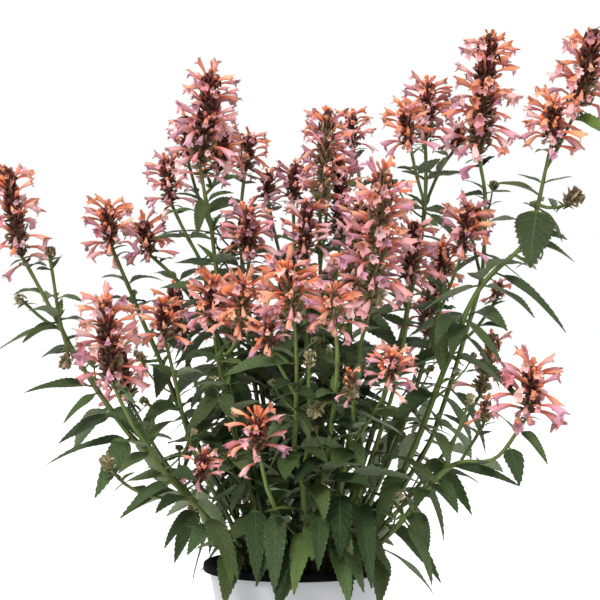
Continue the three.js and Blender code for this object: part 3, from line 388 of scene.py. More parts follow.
# Sprays with paler stems than the others, whose tones run from 0 to 1.
PALE_STEMS = ("front_centre", "front_mid", "low_front")
PALE_TONES = (1.4, 1.8)
# A head bears this many times its listed flowers in all.
FLOWERS_IN_ALL = 2.35
# Flowers start at this share of their head and take up so much of it. Their heights and angles
# follow two golden sequences.
FLOWERS_FROM = 0.1
FLOWERS_SPAN = 0.76
HEIGHT_STEP = 0.5698403
HEIGHT_START = 0.31
ANGLE_STEP = 0.7548777
ANGLE_START = 0.17
# How flowers lean up, in degrees: the lowest, how much more at the top, and how much it varies.
BASE_LEAN = -14
LEAN_RISE = 62
LEAN_VARIES = 12
# Late flowers: the distance of their whorls, how their lean varies more, and the lowest lean.
WHORL_GAP = 11.0
LATE_LEAN_VARIES = 38
LOWEST_LEAN = math.radians(-22)
# How fast the sines run that vary the flowers' lean, length and height.
LEAN_WAVE = 2.4
LATE_LEAN_WAVE = 1.7
LATE_LENGTH_WAVE = 3.1
WHORL_WAVE = 5.3
# Flowers below a full head: its least flowers, the most below it, and how they stand.
FULL_HEAD = 12
MOST_STRAYS = 2
STRAY_START = 5
STRAY_LEANS = (-0.4, 0.3)
STRAY_THICKNESS = 0.6
# How much of its usual room a late flower, leaf or side shoot needs.
FLOWER_THICKNESS = 0.36
LEAF_THICKNESS = 0.34
OUTER_LEAF_THICKNESS = 0.95
SHOOT_THICKNESS = 0.26
# How far inside the plant's box late flowers, leaves and side shoots keep.
FLOWER_MARGIN = 5
LEAF_MARGIN = 2
SHOOT_MARGIN = 6
# Side shoots: where they stand along the stem, their lengths and leans, their buds and radii.
FIRST_SHOOT = (60, 100)
SHOOT_GAPS = (28, 60)
SHOOT_FOOT = 30
SHOOT_LENGTHS = (26, 56)
SHOOT_LEANS = (0.4, 0.9)
SHOOT_RISES = (0.35, 0.8)
BUD_LENGTHS = (5, 9)
BUD_GIRTHS = (2.6, 4.2)
GREEN_BUDS = 0.6
SHOOT_RADII = (0.95, 0.7)
SHOOT_CLEAR = 9
SHOOT_ROOM = 0.6
# Small leaves in each axil and below each head, and the shares of a shoot where its pairs grow.
AXIL_LEAVES = 3
BRACTS = 4
BRACT_DISTANCE = 3.0
SHOOT_PAIRS = (0.15, 0.5)
# Leaves between the pairs: the first one's distance from the head, their steps and their tries.
FIRST_BETWEEN = 70.0
BETWEEN_STEP = 15
BETWEEN_FOOT = 10
BETWEEN_TRIES = 7
# Leaves that grow further from the middle than this stand wider apart.
OUTER_PART = 75.0
# Where the background shows through from the front: across, up and radius.
OPEN_PLACES = np.array([
    (116, 209, 17), (116, 182, 15), (191, 361, 15), (191, 406, 14), (-184, 284, 15), (216, 509, 14),
    (-109, 209, 13), (164, 456, 12), (204, 296, 10),
])
# How far to either side late leaves reach low down, and how placed leaves turn to the front.
LATE_SPREAD = 98.0
FACE = 0.5
# How leaves arch and fold, in pairs and at places of their own, and the least that one runs out.
PAIR_BOW = (0.16, 0.18)
PLACED_BOW = (0.14, 0.16)
BEND_SHARE = 0.42
LEAST_RUN = 6
# Leaves left out of the solids: how they arch, and how short the youngest are.
ARCHES = (0.04, 0.3)
YOUNG_SCALE = 0.42
GROWN_SCALE = 0.58
# Pairs down a stem: the first one, where they are full grown, and the bare foot below the last.
FIRST_PAIR = 13.0
GROWN_DISTANCE = 210
STEM_FOOT = 22
TWIG_FOOT = 12
# How finely the root of a placed leaf is looked for along its stem.
ROOT_STEP = 2
# Seeds of the draws, and how many owners of room a spray has at most.
PLANT_SEED = 11
GREEN_SEED = 100
SPIKE_SEED = 500
FIRST_SEED = 1000
SPRAY_SEEDS = 97
STEM_SEEDS = 13
MOST_OWNERS = 100

# Meshes: the angle from which an edge is sharp.
SHARP_ANGLE = math.radians(62)
# Stems: rings and their corners, the rounded square, the nodes, and how a stem thins to its head.
STEM_RING = 8.0
STEM_CORNERS = 8
SQUARE_RADIUS = 0.9
SQUARE_CORNER = 0.08
NODE_REACH = 5.0
NODE_SWELL = 0.2
SLIMMING = 0.2
# Leaves: the stalk, thinner on leaves below a length, how teeth lean and cut in, and the twist.
STALK_RADIUS = 0.95
STALK_PLACES = np.array([0.0, 0.35, 0.8])
STALK_SWELL = np.array([1.25, 1.0, 1.1])
FULL_STALK = 45
TOOTH_LEAN = 0.7
NOTCH_LEAN = 0.2
TOOTH_DEPTH = 0.12
TWIST = 1.0
# A blade: its first and last ring, half width, thickness, groove over the midrib, and wavy edge.
BLADE_FROM = 0.012
BLADE_TO = 0.985
BLADE_HALF = 0.43
BLADE_THICKNESS = 0.32
MIDRIB_GROOVE = 0.35
EDGE_WAVE = 0.06
# A leaf wider than this keeps only a share of what is more, unless it is very broad and short.
BROAD_LEAF = 33.0
OUTER_BROAD_LEAF = 24.0
BROAD_SHARE = 0.25
BROADEST_GROWN = 45.0
SHORT_LEAF = 1.8
# Heads: the core's share of the column, rows and gaps of calyxes, how bud heads spread, and buds.
CORE_SHARE = 0.46
CORE_RINGS = 8
CORE_CORNERS = 8
CALYX_ROW = 6.2
CALYX_GAP = 3.4
BUD_GAP = 4.4
BUD_SPREAD = 0.2
BUDS_PER_FLOWER = 0.8
STAMENS = 2
# Calyxes: their corners, of which each second one is a point, and how deep and wide the cup is.
CALYX_CORNERS = 6
CUP_DEPTH = 0.62
CALYX_FOOT = 0.5
POINT_TAPER = 0.3
CALYX_LENGTHS = (8.5, 12.5)
CALYX_WIDTHS = (1.1, 1.75)
SHORTEST_CALYX = 3.5
# How much the plant reflects: its surfaces are matt.
PLANT_SPECULAR = 0.14
# A corolla's tube: places along it and its radii up to the mouth.
TUBE_PLACES = np.array([0.05, 0.42, 0.78, 1.0])
TUBE_RADII = np.array([0.85, 1.45, 2.9, 3.5])
THROAT_RADIUS = 1.2
COROLLA_LENGTH = 24
# A closed flower: places along it, its radii, and how far along a corolla's colours each is.
CLUB_PLACES = np.array([0, 0.45, 0.8, 0.97])
CLUB_RADII = np.array([0.8, 1.3, 2.1, 1.5])
CLUB_COLOURS = np.array([0.1, 0.3, 0.5, 0.6])
CLUB_CORNERS = 5
# The rim of a corolla: angle in degrees, radius and how far ahead of the mouth.
LOBES = np.array([
    (-90, 6.4, 1.0), (-72, 8.4, 1.8), (-50, 7.0, 1.0), (-36, 4.4, -0.4), (-18, 6.6, 1.2),
    (8, 3.2, -0.4), (64, 4.6, 4.2), (90, 3.7, 3.0), (116, 4.6, 4.2), (172, 3.2, -0.4),
    (198, 6.6, 1.2), (216, 4.4, -0.4), (230, 7.0, 1.0), (252, 8.4, 1.8),
])
# Sizes of leaves in mm, from and to, the teeth on each edge, and the sides of their section.
LEAF_GRADES = ((0, 26, 4, 4), (26, 46, 7, 8), (46, 999, 12, 8))

# Pots and soil
OUTER_TOP_RADIUS = 87.0
OUTER_WAIST_RADIUS = 79.0
OUTER_WAIST_HEIGHT = 132.0
OUTER_FOOT_RADIUS = 64.0
OUTER_WALL = 2.6
OUTER_FLOOR = 3.5
NURSERY_WALL = 1.4
NURSERY_FOOT_HEIGHT = 12.0
NURSERY_CLEAR = 2.0
LIP_HEIGHT = 8.5
LIP_ROLL = 3.2
SOIL_DOME = 4.0
GAP = 0.3
POT_SIDES = 120
SOIL_SEED = 5
SOIL_RINGS = 34
CRUMBS = 520
# Waves of the soil's surface: length and height. A few of each run in drawn directions.
SOIL_WAVES = ((9.0, 0.9), (5.0, 0.7), (3.2, 0.5))

# The stage, in metres. A 156 mm lens takes in 0.6 m at the pot's axis.
FLOOR_SIZE = 14.0
WORLD_STRENGTH = 1.0
CAMERA_LENS = 156.1
CAMERA_PLACE = (0.0, -2.6, 0.54)
CAMERA_TARGET = (0.004, 0.0, 0.446)
LIT_PLACE = (0.0, 0.0, 0.4)
# The soft light: where from, how wide in degrees, and how strong.
KEY_PLACE = (-1.2, -2.0, 2.6)
KEY_SPREAD = 18.0
KEY_POWER = 2.4

# What a leaf or a flower tries in order until it is clear: turn and tilt in degrees, and length.
TRIES = (
    (0, 0, 1), (18, 0, 1), (-18, 0, 1), (0, -16, 1), (0, 16, 1), (34, -12, 1), (-34, -12, 1),
    (30, 14, 0.9), (-30, 14, 0.9), (0, -30, 0.85), (22, 0, 0.72), (-22, 0, 0.72), (0, 24, 0.7),
)
# How the tip of a placed leaf may move when it is in the way, and the length it keeps at last.
MOVES = ((0, -14, 0), (0, 14, 0), (0, 0, -12), (0, 0, 12), (-10, -20, -6), (10, -20, -6), (0, -30, 8))
SHORTENED = 0.78


def seen(places: Array | Place) -> Array:
    """Turns [x, depth, z] as seen at the pot's axis into places: each grows with its distance."""
    x, depth, z = np.moveaxis(np.asarray(places, float), -1, 0)
    reach = (depth + VIEWER_DISTANCE) / VIEWER_DISTANCE
    return np.stack([x * reach, depth, VIEWER_HEIGHT + (z - VIEWER_HEIGHT) * reach], -1)


def as_seen(place: Array) -> Place:
    """Turns a place back into [x, depth, z] as seen at the pot's axis."""
    x, depth, z = place
    reach = (depth + VIEWER_DISTANCE) / VIEWER_DISTANCE
    return x / reach, depth, VIEWER_HEIGHT + (z - VIEWER_HEIGHT) / reach


def unit(vectors: Array) -> Array:
    """The vectors at length 1."""
    return vectors / np.linalg.norm(vectors, axis=-1, keepdims=True)


def nearest_whole(value: float) -> int:
    """Rounds halves up."""
    return math.floor(value + 0.5)


class Draws:
    """The same draws each time, from 0 to 1, by a linear congruence."""

    FACTOR = 1664525
    STEP = 1013904223
    MODULUS = 2**32

    def __init__(self, seed: int) -> None:
        self.state = seed

    def next(self) -> float:
        """The next draw."""
        self.state = (self.state * self.FACTOR + self.STEP) % self.MODULUS
        return self.state / self.MODULUS


class Stem:
    """A stem or twig: a uniform Catmull-Rom curve through its places, which aims at its head.

    Args:
        places: the path from the root up.
        head: what the stem carries.
        root: radius at the root.
        tip: radius at the head.
        step: longest distance between two bends.
    """

    def __init__(self, places: Array, head: Head, root: float, tip: float, step: float) -> None:
        self.head = head
        self.root = root
        self.tip = tip
        aim = unit(seen(head.top) - places[-1])
        places = np.vstack([places[:-1], places[-1] - AIMED_END * aim, places[-1]])
        self.padded = np.vstack([2 * places[0] - places[1], places, 2 * places[-1] - places[-2]])
        last = len(places) - 1
        stops = [i for i in range(len(places)) if i != last - 1]
        shares = [0.0]
        for low, high in zip(stops, stops[1:]):
            spans = max(1, nearest_whole(np.linalg.norm(places[high] - places[low]) / step))
            shares += [(low + (high - low) * (j / spans)) / last for j in range(1, spans + 1)]
        self.shares = np.array(shares)
        self.line = self.at(self.shares)
        self.base = self.line[-1]
        top = seen(head.top)
        self.height = float(np.linalg.norm(top - self.base))
        self.axis = unit(top - self.base)
        self.side = unit(EAST - self.axis * self.axis[0])
        self.across = np.cross(self.axis, self.side)

    def at(self, shares: Array) -> Array:
        """Points on the curve: cubics whose tangents are half the chord of both neighbours."""
        count = len(self.padded) - 3
        place = np.asarray(shares) * count
        i = np.minimum(np.floor(place).astype(int), count - 1)
        t = (place - i)[..., None]
        a, b, c, d = (self.padded[i + k] for k in range(4))
        start, end = (c - a) * 0.5, (d - b) * 0.5
        return b + start * t + (3 * (c - b) - 2 * start - end) * t**2 + (2 * (b - c) + start + end) * t**3

    def below_head(self, distance: float) -> Array | None:
        """The place on the line at this distance below its upper end, or None past its root."""
        left = distance
        for upper, lower in zip(self.line[::-1], self.line[-2::-1]):
            span = np.linalg.norm(upper - lower)
            if left <= span:
                return upper + (lower - upper) * (left / span)
            left -= span
        return None

    def radius(self, share: Array | float) -> Array | float:
        """The radius shrinks evenly from root to tip."""
        return self.root + (self.tip - self.root) * share

    def column(self, share: Array | float) -> Array | float:
        """How far the column of calyxes stands out, from its base at 0 to its tip at 1."""
        share = np.asarray(share, float)
        widening = np.minimum(1, COLUMN_BASE + share * COLUMN_RISE)
        return self.head.girth * widening * (1 - COLUMN_TAPER * share * share)

    def stem_balls(self) -> tuple[Array, Array]:
        """Balls along the stem: their centres and radii."""
        centres, radii = [], []
        for i, (low, high) in enumerate(zip(self.line, self.line[1:])):
            count = math.ceil(np.linalg.norm(high - low) / BEAD_STEP)
            shares = np.arange(count + 1)[:, None] / count
            centres.append(low + (high - low) * shares)
            radii.append(np.full(count + 1, self.radius(self.shares[i]) + BEAD_MARGIN))
        return np.vstack(centres), np.concatenate(radii)

    def column_balls(self) -> tuple[Array, Array]:
        """Balls along the column of calyxes."""
        count = math.ceil(self.height / BEAD_STEP)
        shares = np.arange(1, count + 1) / count
        centres = self.base + self.axis * (shares * self.height)[:, None]
        return centres, self.column(shares) * 1.1 + BEAD_MARGIN


@dataclass
class Flower:
    """One corolla: it starts inside the column and runs out along its direction."""

    start: Array
    direction: Array
    inside: float
    length: float
    share: float
    number: int

    @staticmethod
    def of(stem: Stem, number: int, attempt: tuple[float, float, float]) -> "Flower":
        """The numbered flower of a head, turned and tilted by what it tries.

        Height and angle follow two golden sequences, and flowers lean up more towards the top.
        Late flowers, which the solids leave out, stand in whorls and vary more in lean and length.
        """
        turn, tilt, size = attempt
        late = number >= nearest_whole(stem.head.flowers * FLOWER_SHARE)
        share = FLOWERS_FROM + FLOWERS_SPAN * ((number * HEIGHT_STEP + HEIGHT_START) % 1)
        if late:
            tilt += LATE_LEAN_VARIES * math.sin(number * LATE_LEAN_WAVE)
            size *= 0.84 + 0.24 * math.sin(number * LATE_LENGTH_WAVE)
            whorls = max(2, round(FLOWERS_SPAN * stem.height / WHORL_GAP))
            whorl = math.floor((share - FLOWERS_FROM) / FLOWERS_SPAN * whorls) + 0.5
            whorl += 0.3 * math.sin(number * WHORL_WAVE)
            share = FLOWERS_FROM + FLOWERS_SPAN * whorl / whorls
        angle = TURN * ((number * ANGLE_STEP + ANGLE_START) % 1) + math.radians(turn)
        lean = BASE_LEAN + LEAN_RISE * share + LEAN_VARIES * math.sin(number * LEAN_WAVE)
        rise = math.radians(lean + tilt)
        if late:
            rise = max(rise, LOWEST_LEAN)
        out = stem.side * math.cos(angle) + stem.across * math.sin(angle)
        direction = out * math.cos(rise) + stem.axis * math.sin(rise)
        return Flower(
            start=stem.base + stem.axis * share * stem.height,
            direction=direction,
            inside=float(stem.column(share)) * 0.8,
            length=stem.head.reach * size * (1 - 0.3 * share * share),
            share=share,
            number=number,
        )

    def balls(self) -> tuple[Array, Array]:
        """Three balls along the corolla."""
        shares = np.array([0.35, 0.68, 1.0])
        centres = self.start + self.direction * (self.inside + self.length * shares)[:, None]
        return centres, 2.4 + 1.6 * shares


def blade_width(share: Array) -> Array:
    """Half width from base at 0 to tip at 1: round below and drawn out above, 1 at its widest."""
    share = np.clip(share, 0, 1)
    return np.sqrt(share) * (1 - share) ** 1.25 / 0.351


def ovate(share: Array) -> Array:
    """The same blade as it looks up close: broad at its base, a little fuller towards its tip."""
    share = np.clip(share, 0, 1)
    return share**0.36 * (1 - share) ** 0.97 / 0.465


def on_leaf(share: Array | float) -> Array | float:
    """A share of the blade as a share of the leaf, whose first part is the stalk."""
    return PETIOLE_SHARE + (1 - PETIOLE_SHARE) * share


@dataclass
class Leaf:
    """A leaf that bends from its root to its tip, with its two halves folded up a little."""

    root: Array
    tip: Array
    width: float
    arch: float
    fold: float
    roll: float
    fresh: float = 0.5
    face: float = 0.0

    def bend(self) -> tuple[Array, Array]:
        """The middle point of the leaf's quadratic curve, and the direction of its width."""
        chord = self.tip - self.root
        out = np.array([chord[0], chord[1], 0.0])
        if np.linalg.norm(out) < LEAST_RUN:
            out = np.array([0.0, -1.0, 0.0])
        side = unit(np.cross(unit(out), UP))
        side = unit(side + UP * self.roll)
        lift = unit(np.cross(side, chord)) * self.arch * np.linalg.norm(chord)
        return self.root + chord * BEND_SHARE + lift, side

    def balls(self) -> tuple[Array, Array, Array]:
        """Balls over stalk and blade: centres, radii, and which of them are near the stem."""
        length = float(np.linalg.norm(self.tip - self.root))
        stalk = np.arange(PETIOLE_START, length * PETIOLE_SHARE, PETIOLE_STEP) / length
        rows = math.ceil((length * (1 - PETIOLE_SHARE)) / BEAD_STEP)
        shares, offsets = [], []
        for row in range(rows + 1):
            half = float(blade_width(np.array(row / rows))) * 0.5 * self.width
            columns = math.ceil((2 * half) / BEAD_STEP)
            steps = np.arange(columns + 1) / columns if columns else np.array([0.5])
            offsets.append(half * (2 * steps - 1) * COVERED_WIDTH)
            shares.append(np.full(len(steps), row / rows))
        share = np.concatenate(shares)
        every = np.concatenate([stalk, on_leaf(share)])
        offset = np.concatenate([np.zeros(len(stalk))] + offsets)
        middle, side = self.bend()
        centres = leaf_points(self.root, middle, self.tip, side, every, offset, self.fold)
        radii = np.concatenate([np.full(len(stalk), PETIOLE_ROOM), np.full(len(share), BLADE_ROOM)])
        near = np.concatenate([np.ones(len(stalk), bool), share < NEAR_SHARE])
        return centres, radii, near


def bezier(root: Array, middle: Array, tip: Array, share: Array) -> Array:
    """Points on quadratic curves."""
    t = share[..., None]
    return (1 - t) ** 2 * root + 2 * (1 - t) * t * middle + t**2 * tip


def leaf_points(root: Array, middle: Array, tip: Array, side: Array, share: Array, offset: Array,
                fold: Array | float, lift: Array | float = 0.0) -> Array:
    """Points of a leaf: centre line + side * offset + normal * (lift + fold * |offset|).

    Args:
        root, middle, tip: the curve of the centre line.
        side: the direction of the width.
        share: places along the leaf, 0 to 1.
        offset: distances across the leaf.
        fold: how steeply the halves stand up.
        lift: distance off the middle surface.

    Returns:
        Places, with one more axis than share.
    """
    step = 0.0001
    ahead = bezier(root, middle, tip, np.minimum(share + step, 1))
    tangent = unit(ahead - bezier(root, middle, tip, np.maximum(share - step, 0)))
    normal = unit(np.cross(np.broadcast_to(side, tangent.shape), tangent))
    rise = np.asarray(lift + fold * np.abs(offset))
    return bezier(root, middle, tip, share) + side * offset[..., None] + normal * rise[..., None]


class Room:
    """Balls along what already has its place."""

    def __init__(self, most: int = 400_000) -> None:
        self.centres = np.zeros((3, most))
        self.radii = np.zeros(most)
        self.owners = np.full(most, -1)
        self.count = 0

    def add(self, owner: int, centres: Array, radii: Array) -> None:
        """Takes up room for an owner."""
        end = self.count + len(radii)
        self.centres[:, self.count:end] = centres.T
        self.radii[self.count:end] = radii
        self.owners[self.count:end] = owner
        self.count = end

    def touched(self, centres: Array, radii: Array, near: Array | None = None,
                skip: int = -2, carrier: int = -2) -> bool:
        """Whether any of these balls touches one that is there.

        Args:
            centres, radii: the balls to test.
            near: those for which the carrier's balls don't count.
            skip: the owner whose balls never count.
            carrier: the owner whose balls don't count near the root.

        Returns:
            True at a touch.
        """
        reach = radii.max() + LARGEST_BALL
        low, high = centres.min(0) - reach, centres.max(0) + reach
        there = np.arange(self.count)
        for axis in (2, 0, 1):
            line = self.centres[axis][there]
            there = there[(line > low[axis]) & (line < high[axis])]
        if not len(there):
            return False
        owners = self.owners[there]
        others = self.centres[:, there]
        apart = (centres**2).sum(1)[:, None] + (others**2).sum(0) - 2 * centres @ others
        hit = apart < (radii[:, None] + self.radii[there]) ** 2
        hit &= owners != skip
        if near is not None:
            hit &= ~(near[:, None] & (owners == carrier))
        return bool(hit.any())


def out_of_bounds(centres: Array, radii: Array) -> bool:
    """Whether balls reach into the pots, too near the ground or, low down, too far out."""
    out, height = np.hypot(centres[:, 0], centres[:, 1]), centres[:, 2]
    clear = POT_CLEAR + radii
    spread = np.maximum(LEAST_SPREAD, LIP_SPREAD + SPREAD_RISE * (height - LIP_TOP))
    in_pots = (out < LIP_RADIUS + clear) & (height < LIP_TOP + clear)
    return bool((in_pots | (height < LOWEST_LEAF) | (out > spread)).any())


@dataclass
class Grown:
    """One spray as it has grown. Flowers are listed stem by stem."""

    spray: Spray
    owner: int
    stems: list[Stem]
    flowers: list[list[Flower]]
    leaves: list[Leaf] = field(default_factory=list)

    @staticmethod
    def of(spray: Spray, number: int, late: tuple[Twig, ...]) -> "Grown":
        """The bare stems of a spray: those of the solids, then the late ones."""
        places = np.vstack([(*spray.crown, SOIL_TOP + FREE_FOOT), seen(spray.path)])
        stems = [Stem(places, spray.head, spray.radius, STEM_TIP_RADIUS, STEM_STEP)]
        for twig in spray.twigs + late:
            places = seen((spray.path[twig.start],) + twig.path)
            stems.append(Stem(places, twig.head, TWIG_RADIUS, TWIG_TIP_RADIUS, TWIG_STEP))
        return Grown(spray, MOST_OWNERS * number, stems, [[] for _ in stems])

    def head_owner(self, stem: int) -> int:
        """The owner of a head's room. The stems' own is the spray's, and the leaves' is next."""
        return self.owner + 2 + stem

    def solid_stems(self) -> range:
        """The numbers of the stems that the solids hold."""
        return range(1 + len(self.spray.twigs))

    def late_stems(self) -> range:
        """The numbers of the stems that only this file adds."""
        return range(1 + len(self.spray.twigs), len(self.stems))


@dataclass
class Pair:
    """One leaf of a pair, before it has found room. Its slimness is its width over its length."""

    root: Array
    turned: float
    size: float
    rise: float
    roll: float
    slim: float
    arch: float = PAIR_BOW[0]
    fresh: float = 0.5

    def leaf(self, attempt: tuple[float, float, float] = TRIES[0]) -> Leaf:
        """The leaf, turned, tilted and scaled by what it tries."""
        turn, tilt, size = attempt
        angle, rise = math.radians(self.turned + turn), math.radians(self.rise + tilt)
        length = self.size * size
        level = math.cos(rise) * length
        step = np.array([math.cos(angle) * level, math.sin(angle) * level, math.sin(rise) * length])
        width = length * self.slim
        return Leaf(self.root, self.root + step, width, self.arch, PAIR_BOW[1], self.roll, self.fresh)

    def options(self, tries: int = len(TRIES)) -> list[Leaf]:
        """The leaf at each of its first tries."""
        return [self.leaf(attempt) for attempt in TRIES[:tries]]


@dataclass(frozen=True)
class Habit:
    """What small leaves are drawn from: ranges in mm and degrees, and how fresh their green is.

    A range whose ends are the same takes no draw.
    """

    turn: tuple[float, float]
    size: tuple[float, float]
    rise: tuple[float, float]
    roll: tuple[float, float]
    slim: tuple[float, float]
    fresh: float = 0.5

    def draw(self, draws: np.random.Generator, root: Array, turned: float) -> Pair:
        """A leaf at this root, turned about this way."""
        ranges = (self.turn, self.size, self.rise, self.roll, self.slim)
        turn, size, rise, roll, slim = [low if low == high else draws.uniform(low, high)
                                        for low, high in ranges]
        return Pair(root, turned + turn, size, rise, roll, slim, fresh=self.fresh)


AXIL_LEAF = Habit((-40, 40), (12, 30), (20, 65), (-0.4, 0.4), (0.3, 0.45), 0.9)
BETWEEN_LEAF = Habit((0, 360), (30, 66), (-55, 5), (-0.6, 0.6), (0.4, 0.54))
SHOOT_LEAF = Habit((-20, 20), (10, 20), (-20, 40), (-0.4, 0.4), (0.4, 0.4), 0.85)
BRACT = Habit((-20, 20), (9, 11), (-30, 25), (0.0, 0.0), (0.3, 0.3), 0.75)


class Plant:
    """The whole plant: what the solids hold first, in their order, and then what fills it up.

    Args:
        low, high: corners of the room that the plant may take up.
    """

    def __init__(self, low: Array, high: Array) -> None:
        self.low = low
        self.high = high
        self.room = Room()
        self.draws = np.random.default_rng(PLANT_SEED)
        self.sprays = []
        self.lost: list[tuple[Grown, Pair]] = []
        for i, spray in enumerate(SPRAYS):
            late = tuple(twig for name, twig in LATE_TWIGS if name == spray.name)
            self.sprays.append(Grown.of(spray, i, late))
        self.by_name = {grown.spray.name: grown for grown in self.sprays}
        for grown in self.sprays:
            self.place_stems(grown, grown.solid_stems())
        self.place_flowers(0, FLOWER_SHARE, 1.0)
        self.place_leaves()
        for grown in self.sprays:
            self.place_stems(grown, grown.late_stems())
        self.place_late_leaves()
        self.fill_flowers()
        self.fill_leaves()
        self.add_shoots()
        flowers = sum(len(stem) for grown in self.sprays for stem in grown.flowers)
        LOG.info("grown: %d flowers, %d leaves", flowers, sum(len(g.leaves) for g in self.sprays))

    def inside(self, centres: Array, margin: float) -> bool:
        """Whether all centres keep this far inside the room of the plant."""
        return bool((centres > self.low + margin).all() and (centres < self.high - margin).all())

    def place_stems(self, grown: Grown, numbers: range) -> None:
        """Takes up room for stems and their columns."""
        for j in numbers:
            self.room.add(grown.owner, *grown.stems[j].stem_balls())
            self.room.add(grown.head_owner(j), *grown.stems[j].column_balls())

    def place_flowers(self, share_from: float, share_to: float, thickness: float) -> None:
        """Puts flowers on all heads.

        Args:
            share_from, share_to: which of a head's flowers, as shares of their number.
            thickness: scale of the room that each needs.
        """
        for grown in self.sprays:
            for j, stem in enumerate(grown.stems):
                first = nearest_whole(stem.head.flowers * share_from)
                last = stem.head.flowers * share_to * (stem.head.fullness if thickness < 1 else 1)
                for number in range(first, nearest_whole(last)):
                    tries = (Flower.of(stem, number, attempt) for attempt in TRIES)
                    self.bear(grown, j, tries, thickness)

    def bear(self, grown: Grown, stem: int, options: Iterable[Flower], thickness: float) -> None:
        """Adds the first of these flowers that has room.

        Args:
            grown: the spray that carries it.
            stem: the number of its stem.
            options: the flower as it tries different places.
            thickness: scale of the room that it needs.
        """
        owner = grown.head_owner(stem)
        for flower in options:
            centres, radii = flower.balls()
            radii = radii * thickness
            if self.room.touched(centres, radii, skip=owner):
                continue
            if thickness < 1 and not self.inside(centres, FLOWER_MARGIN):
                continue
            self.room.add(owner, centres, radii)
            grown.flowers[stem].append(flower)
            return

    def settle(self, grown: Grown, options: Iterable[Leaf], thickness: float = 1.0) -> bool:
        """Adds the first of these leaves that has room.

        Args:
            grown: the spray that carries it.
            options: the leaf as it tries different places.
            thickness: scale of the room that it needs.

        Returns:
            Whether one had room.
        """
        for leaf in options:
            centres, radii, near = leaf.balls()
            radii = radii * thickness
            if out_of_bounds(centres, radii):
                continue
            if self.room.touched(centres, radii, near, carrier=grown.owner):
                continue
            if thickness < 1 and not self.suits(centres):
                continue
            self.room.add(grown.owner + 1, centres, radii)
            grown.leaves.append(leaf)
            return True
        return False

    def suits(self, centres: Array) -> bool:
        """Whether a late leaf keeps to the plant's box and outline and leaves open places open."""
        inside = self.inside(centres, LEAF_MARGIN) and within_sides(centres)
        return inside and not in_open_place(centres)

    def place_leaves(self) -> None:
        """Adds the leaves with places of their own, then the large pairs, largest first."""
        for name, rows in PLACED_LEAVES:
            grown = self.by_name[name]
            for height, tip, width in rows:
                self.settle(grown, shifted(placed_leaf(grown.stems[0], height, tip, width)))
        pairs = []
        for i, grown in enumerate(self.sprays):
            for j in grown.solid_stems():
                foot = TWIG_FOOT if j else STEM_FOOT
                seed = FIRST_SEED + SPRAY_SEEDS * i + STEM_SEEDS * j
                pairs += [(grown, pair) for pair in leaf_pairs(grown.stems[j], seed, foot)]
        pairs.sort(key=lambda entry: -entry[1].size)
        for grown, pair in pairs:
            large = pair.size >= LEAST_SHOWN
            if not (large and self.settle(grown, pair.options())):
                self.lost.append((grown, pair))

    def place_late_leaves(self) -> None:
        """Adds the leaves with places of their own that the solids leave out."""
        for name, stem, height, tip, width, fresh in LATE_LEAVES:
            grown = self.by_name[name]
            leaf = placed_leaf(grown.stems[stem], height, tip, width)
            self.settle(grown, shifted(replace(leaf, fresh=fresh)), LEAF_THICKNESS)

    def fill_flowers(self) -> None:
        """Adds the flowers that the solids leave out, and some below each full head."""
        self.place_flowers(FLOWER_SHARE, FLOWERS_IN_ALL, FLOWER_THICKNESS)
        for grown in self.sprays:
            for j, stem in enumerate(grown.stems):
                if stem.head.flowers < FULL_HEAD:
                    continue
                place = stem.below_head(STRAY_START + STRAY_START * self.draws.random())
                if place is None:
                    continue
                for number in range(self.draws.integers(MOST_STRAYS + 1)):
                    angle = TURN * self.draws.random()
                    out = stem.side * math.cos(angle) + stem.across * math.sin(angle)
                    direction = unit(out + stem.axis * self.draws.uniform(*STRAY_LEANS))
                    length = stem.head.reach * 0.9
                    flower = Flower(place, direction, 5.0, length, share=0.05, number=number)
                    self.bear(grown, j, [flower], STRAY_THICKNESS)

    def fill_leaves(self) -> None:
        """Adds small leaves: those left out of the solids, and shoots in the axils of pairs."""
        for grown, pair in self.lost:
            small = min(1.0, (pair.size - SMALLEST_PAIR) / (LEAST_SHOWN - SMALLEST_PAIR))
            size = pair.size * (YOUNG_SCALE + GROWN_SCALE * small)
            shorter = replace(pair, size=size, arch=self.draws.uniform(*ARCHES))
            outer = abs(pair.root[0]) > OUTER_PART
            self.settle(grown, shorter.options(), OUTER_LEAF_THICKNESS if outer else LEAF_THICKNESS)
        for grown, pair in self.lost[::2]:
            for _ in range(AXIL_LEAVES):
                young = AXIL_LEAF.draw(self.draws, pair.root, pair.turned)
                self.settle(grown, [young.leaf()], SHOOT_THICKNESS)
        for grown in self.sprays:
            self.add_between(grown, grown.stems[0])
            for stem in grown.stems:
                self.add_bracts(grown, stem)

    def add_between(self, grown: Grown, stem: Stem) -> None:
        """Adds leaves of middling size where there is room left along the lower stem."""
        distance = FIRST_BETWEEN
        while stem.below_head(distance + BETWEEN_FOOT) is not None:
            root = stem.below_head(distance)
            for _ in range(0 if abs(root[0]) > OUTER_PART else 2):
                pair = BETWEEN_LEAF.draw(self.draws, root, 0.0)
                self.settle(grown, pair.options(BETWEEN_TRIES), SHOOT_THICKNESS)
            distance += BETWEEN_STEP

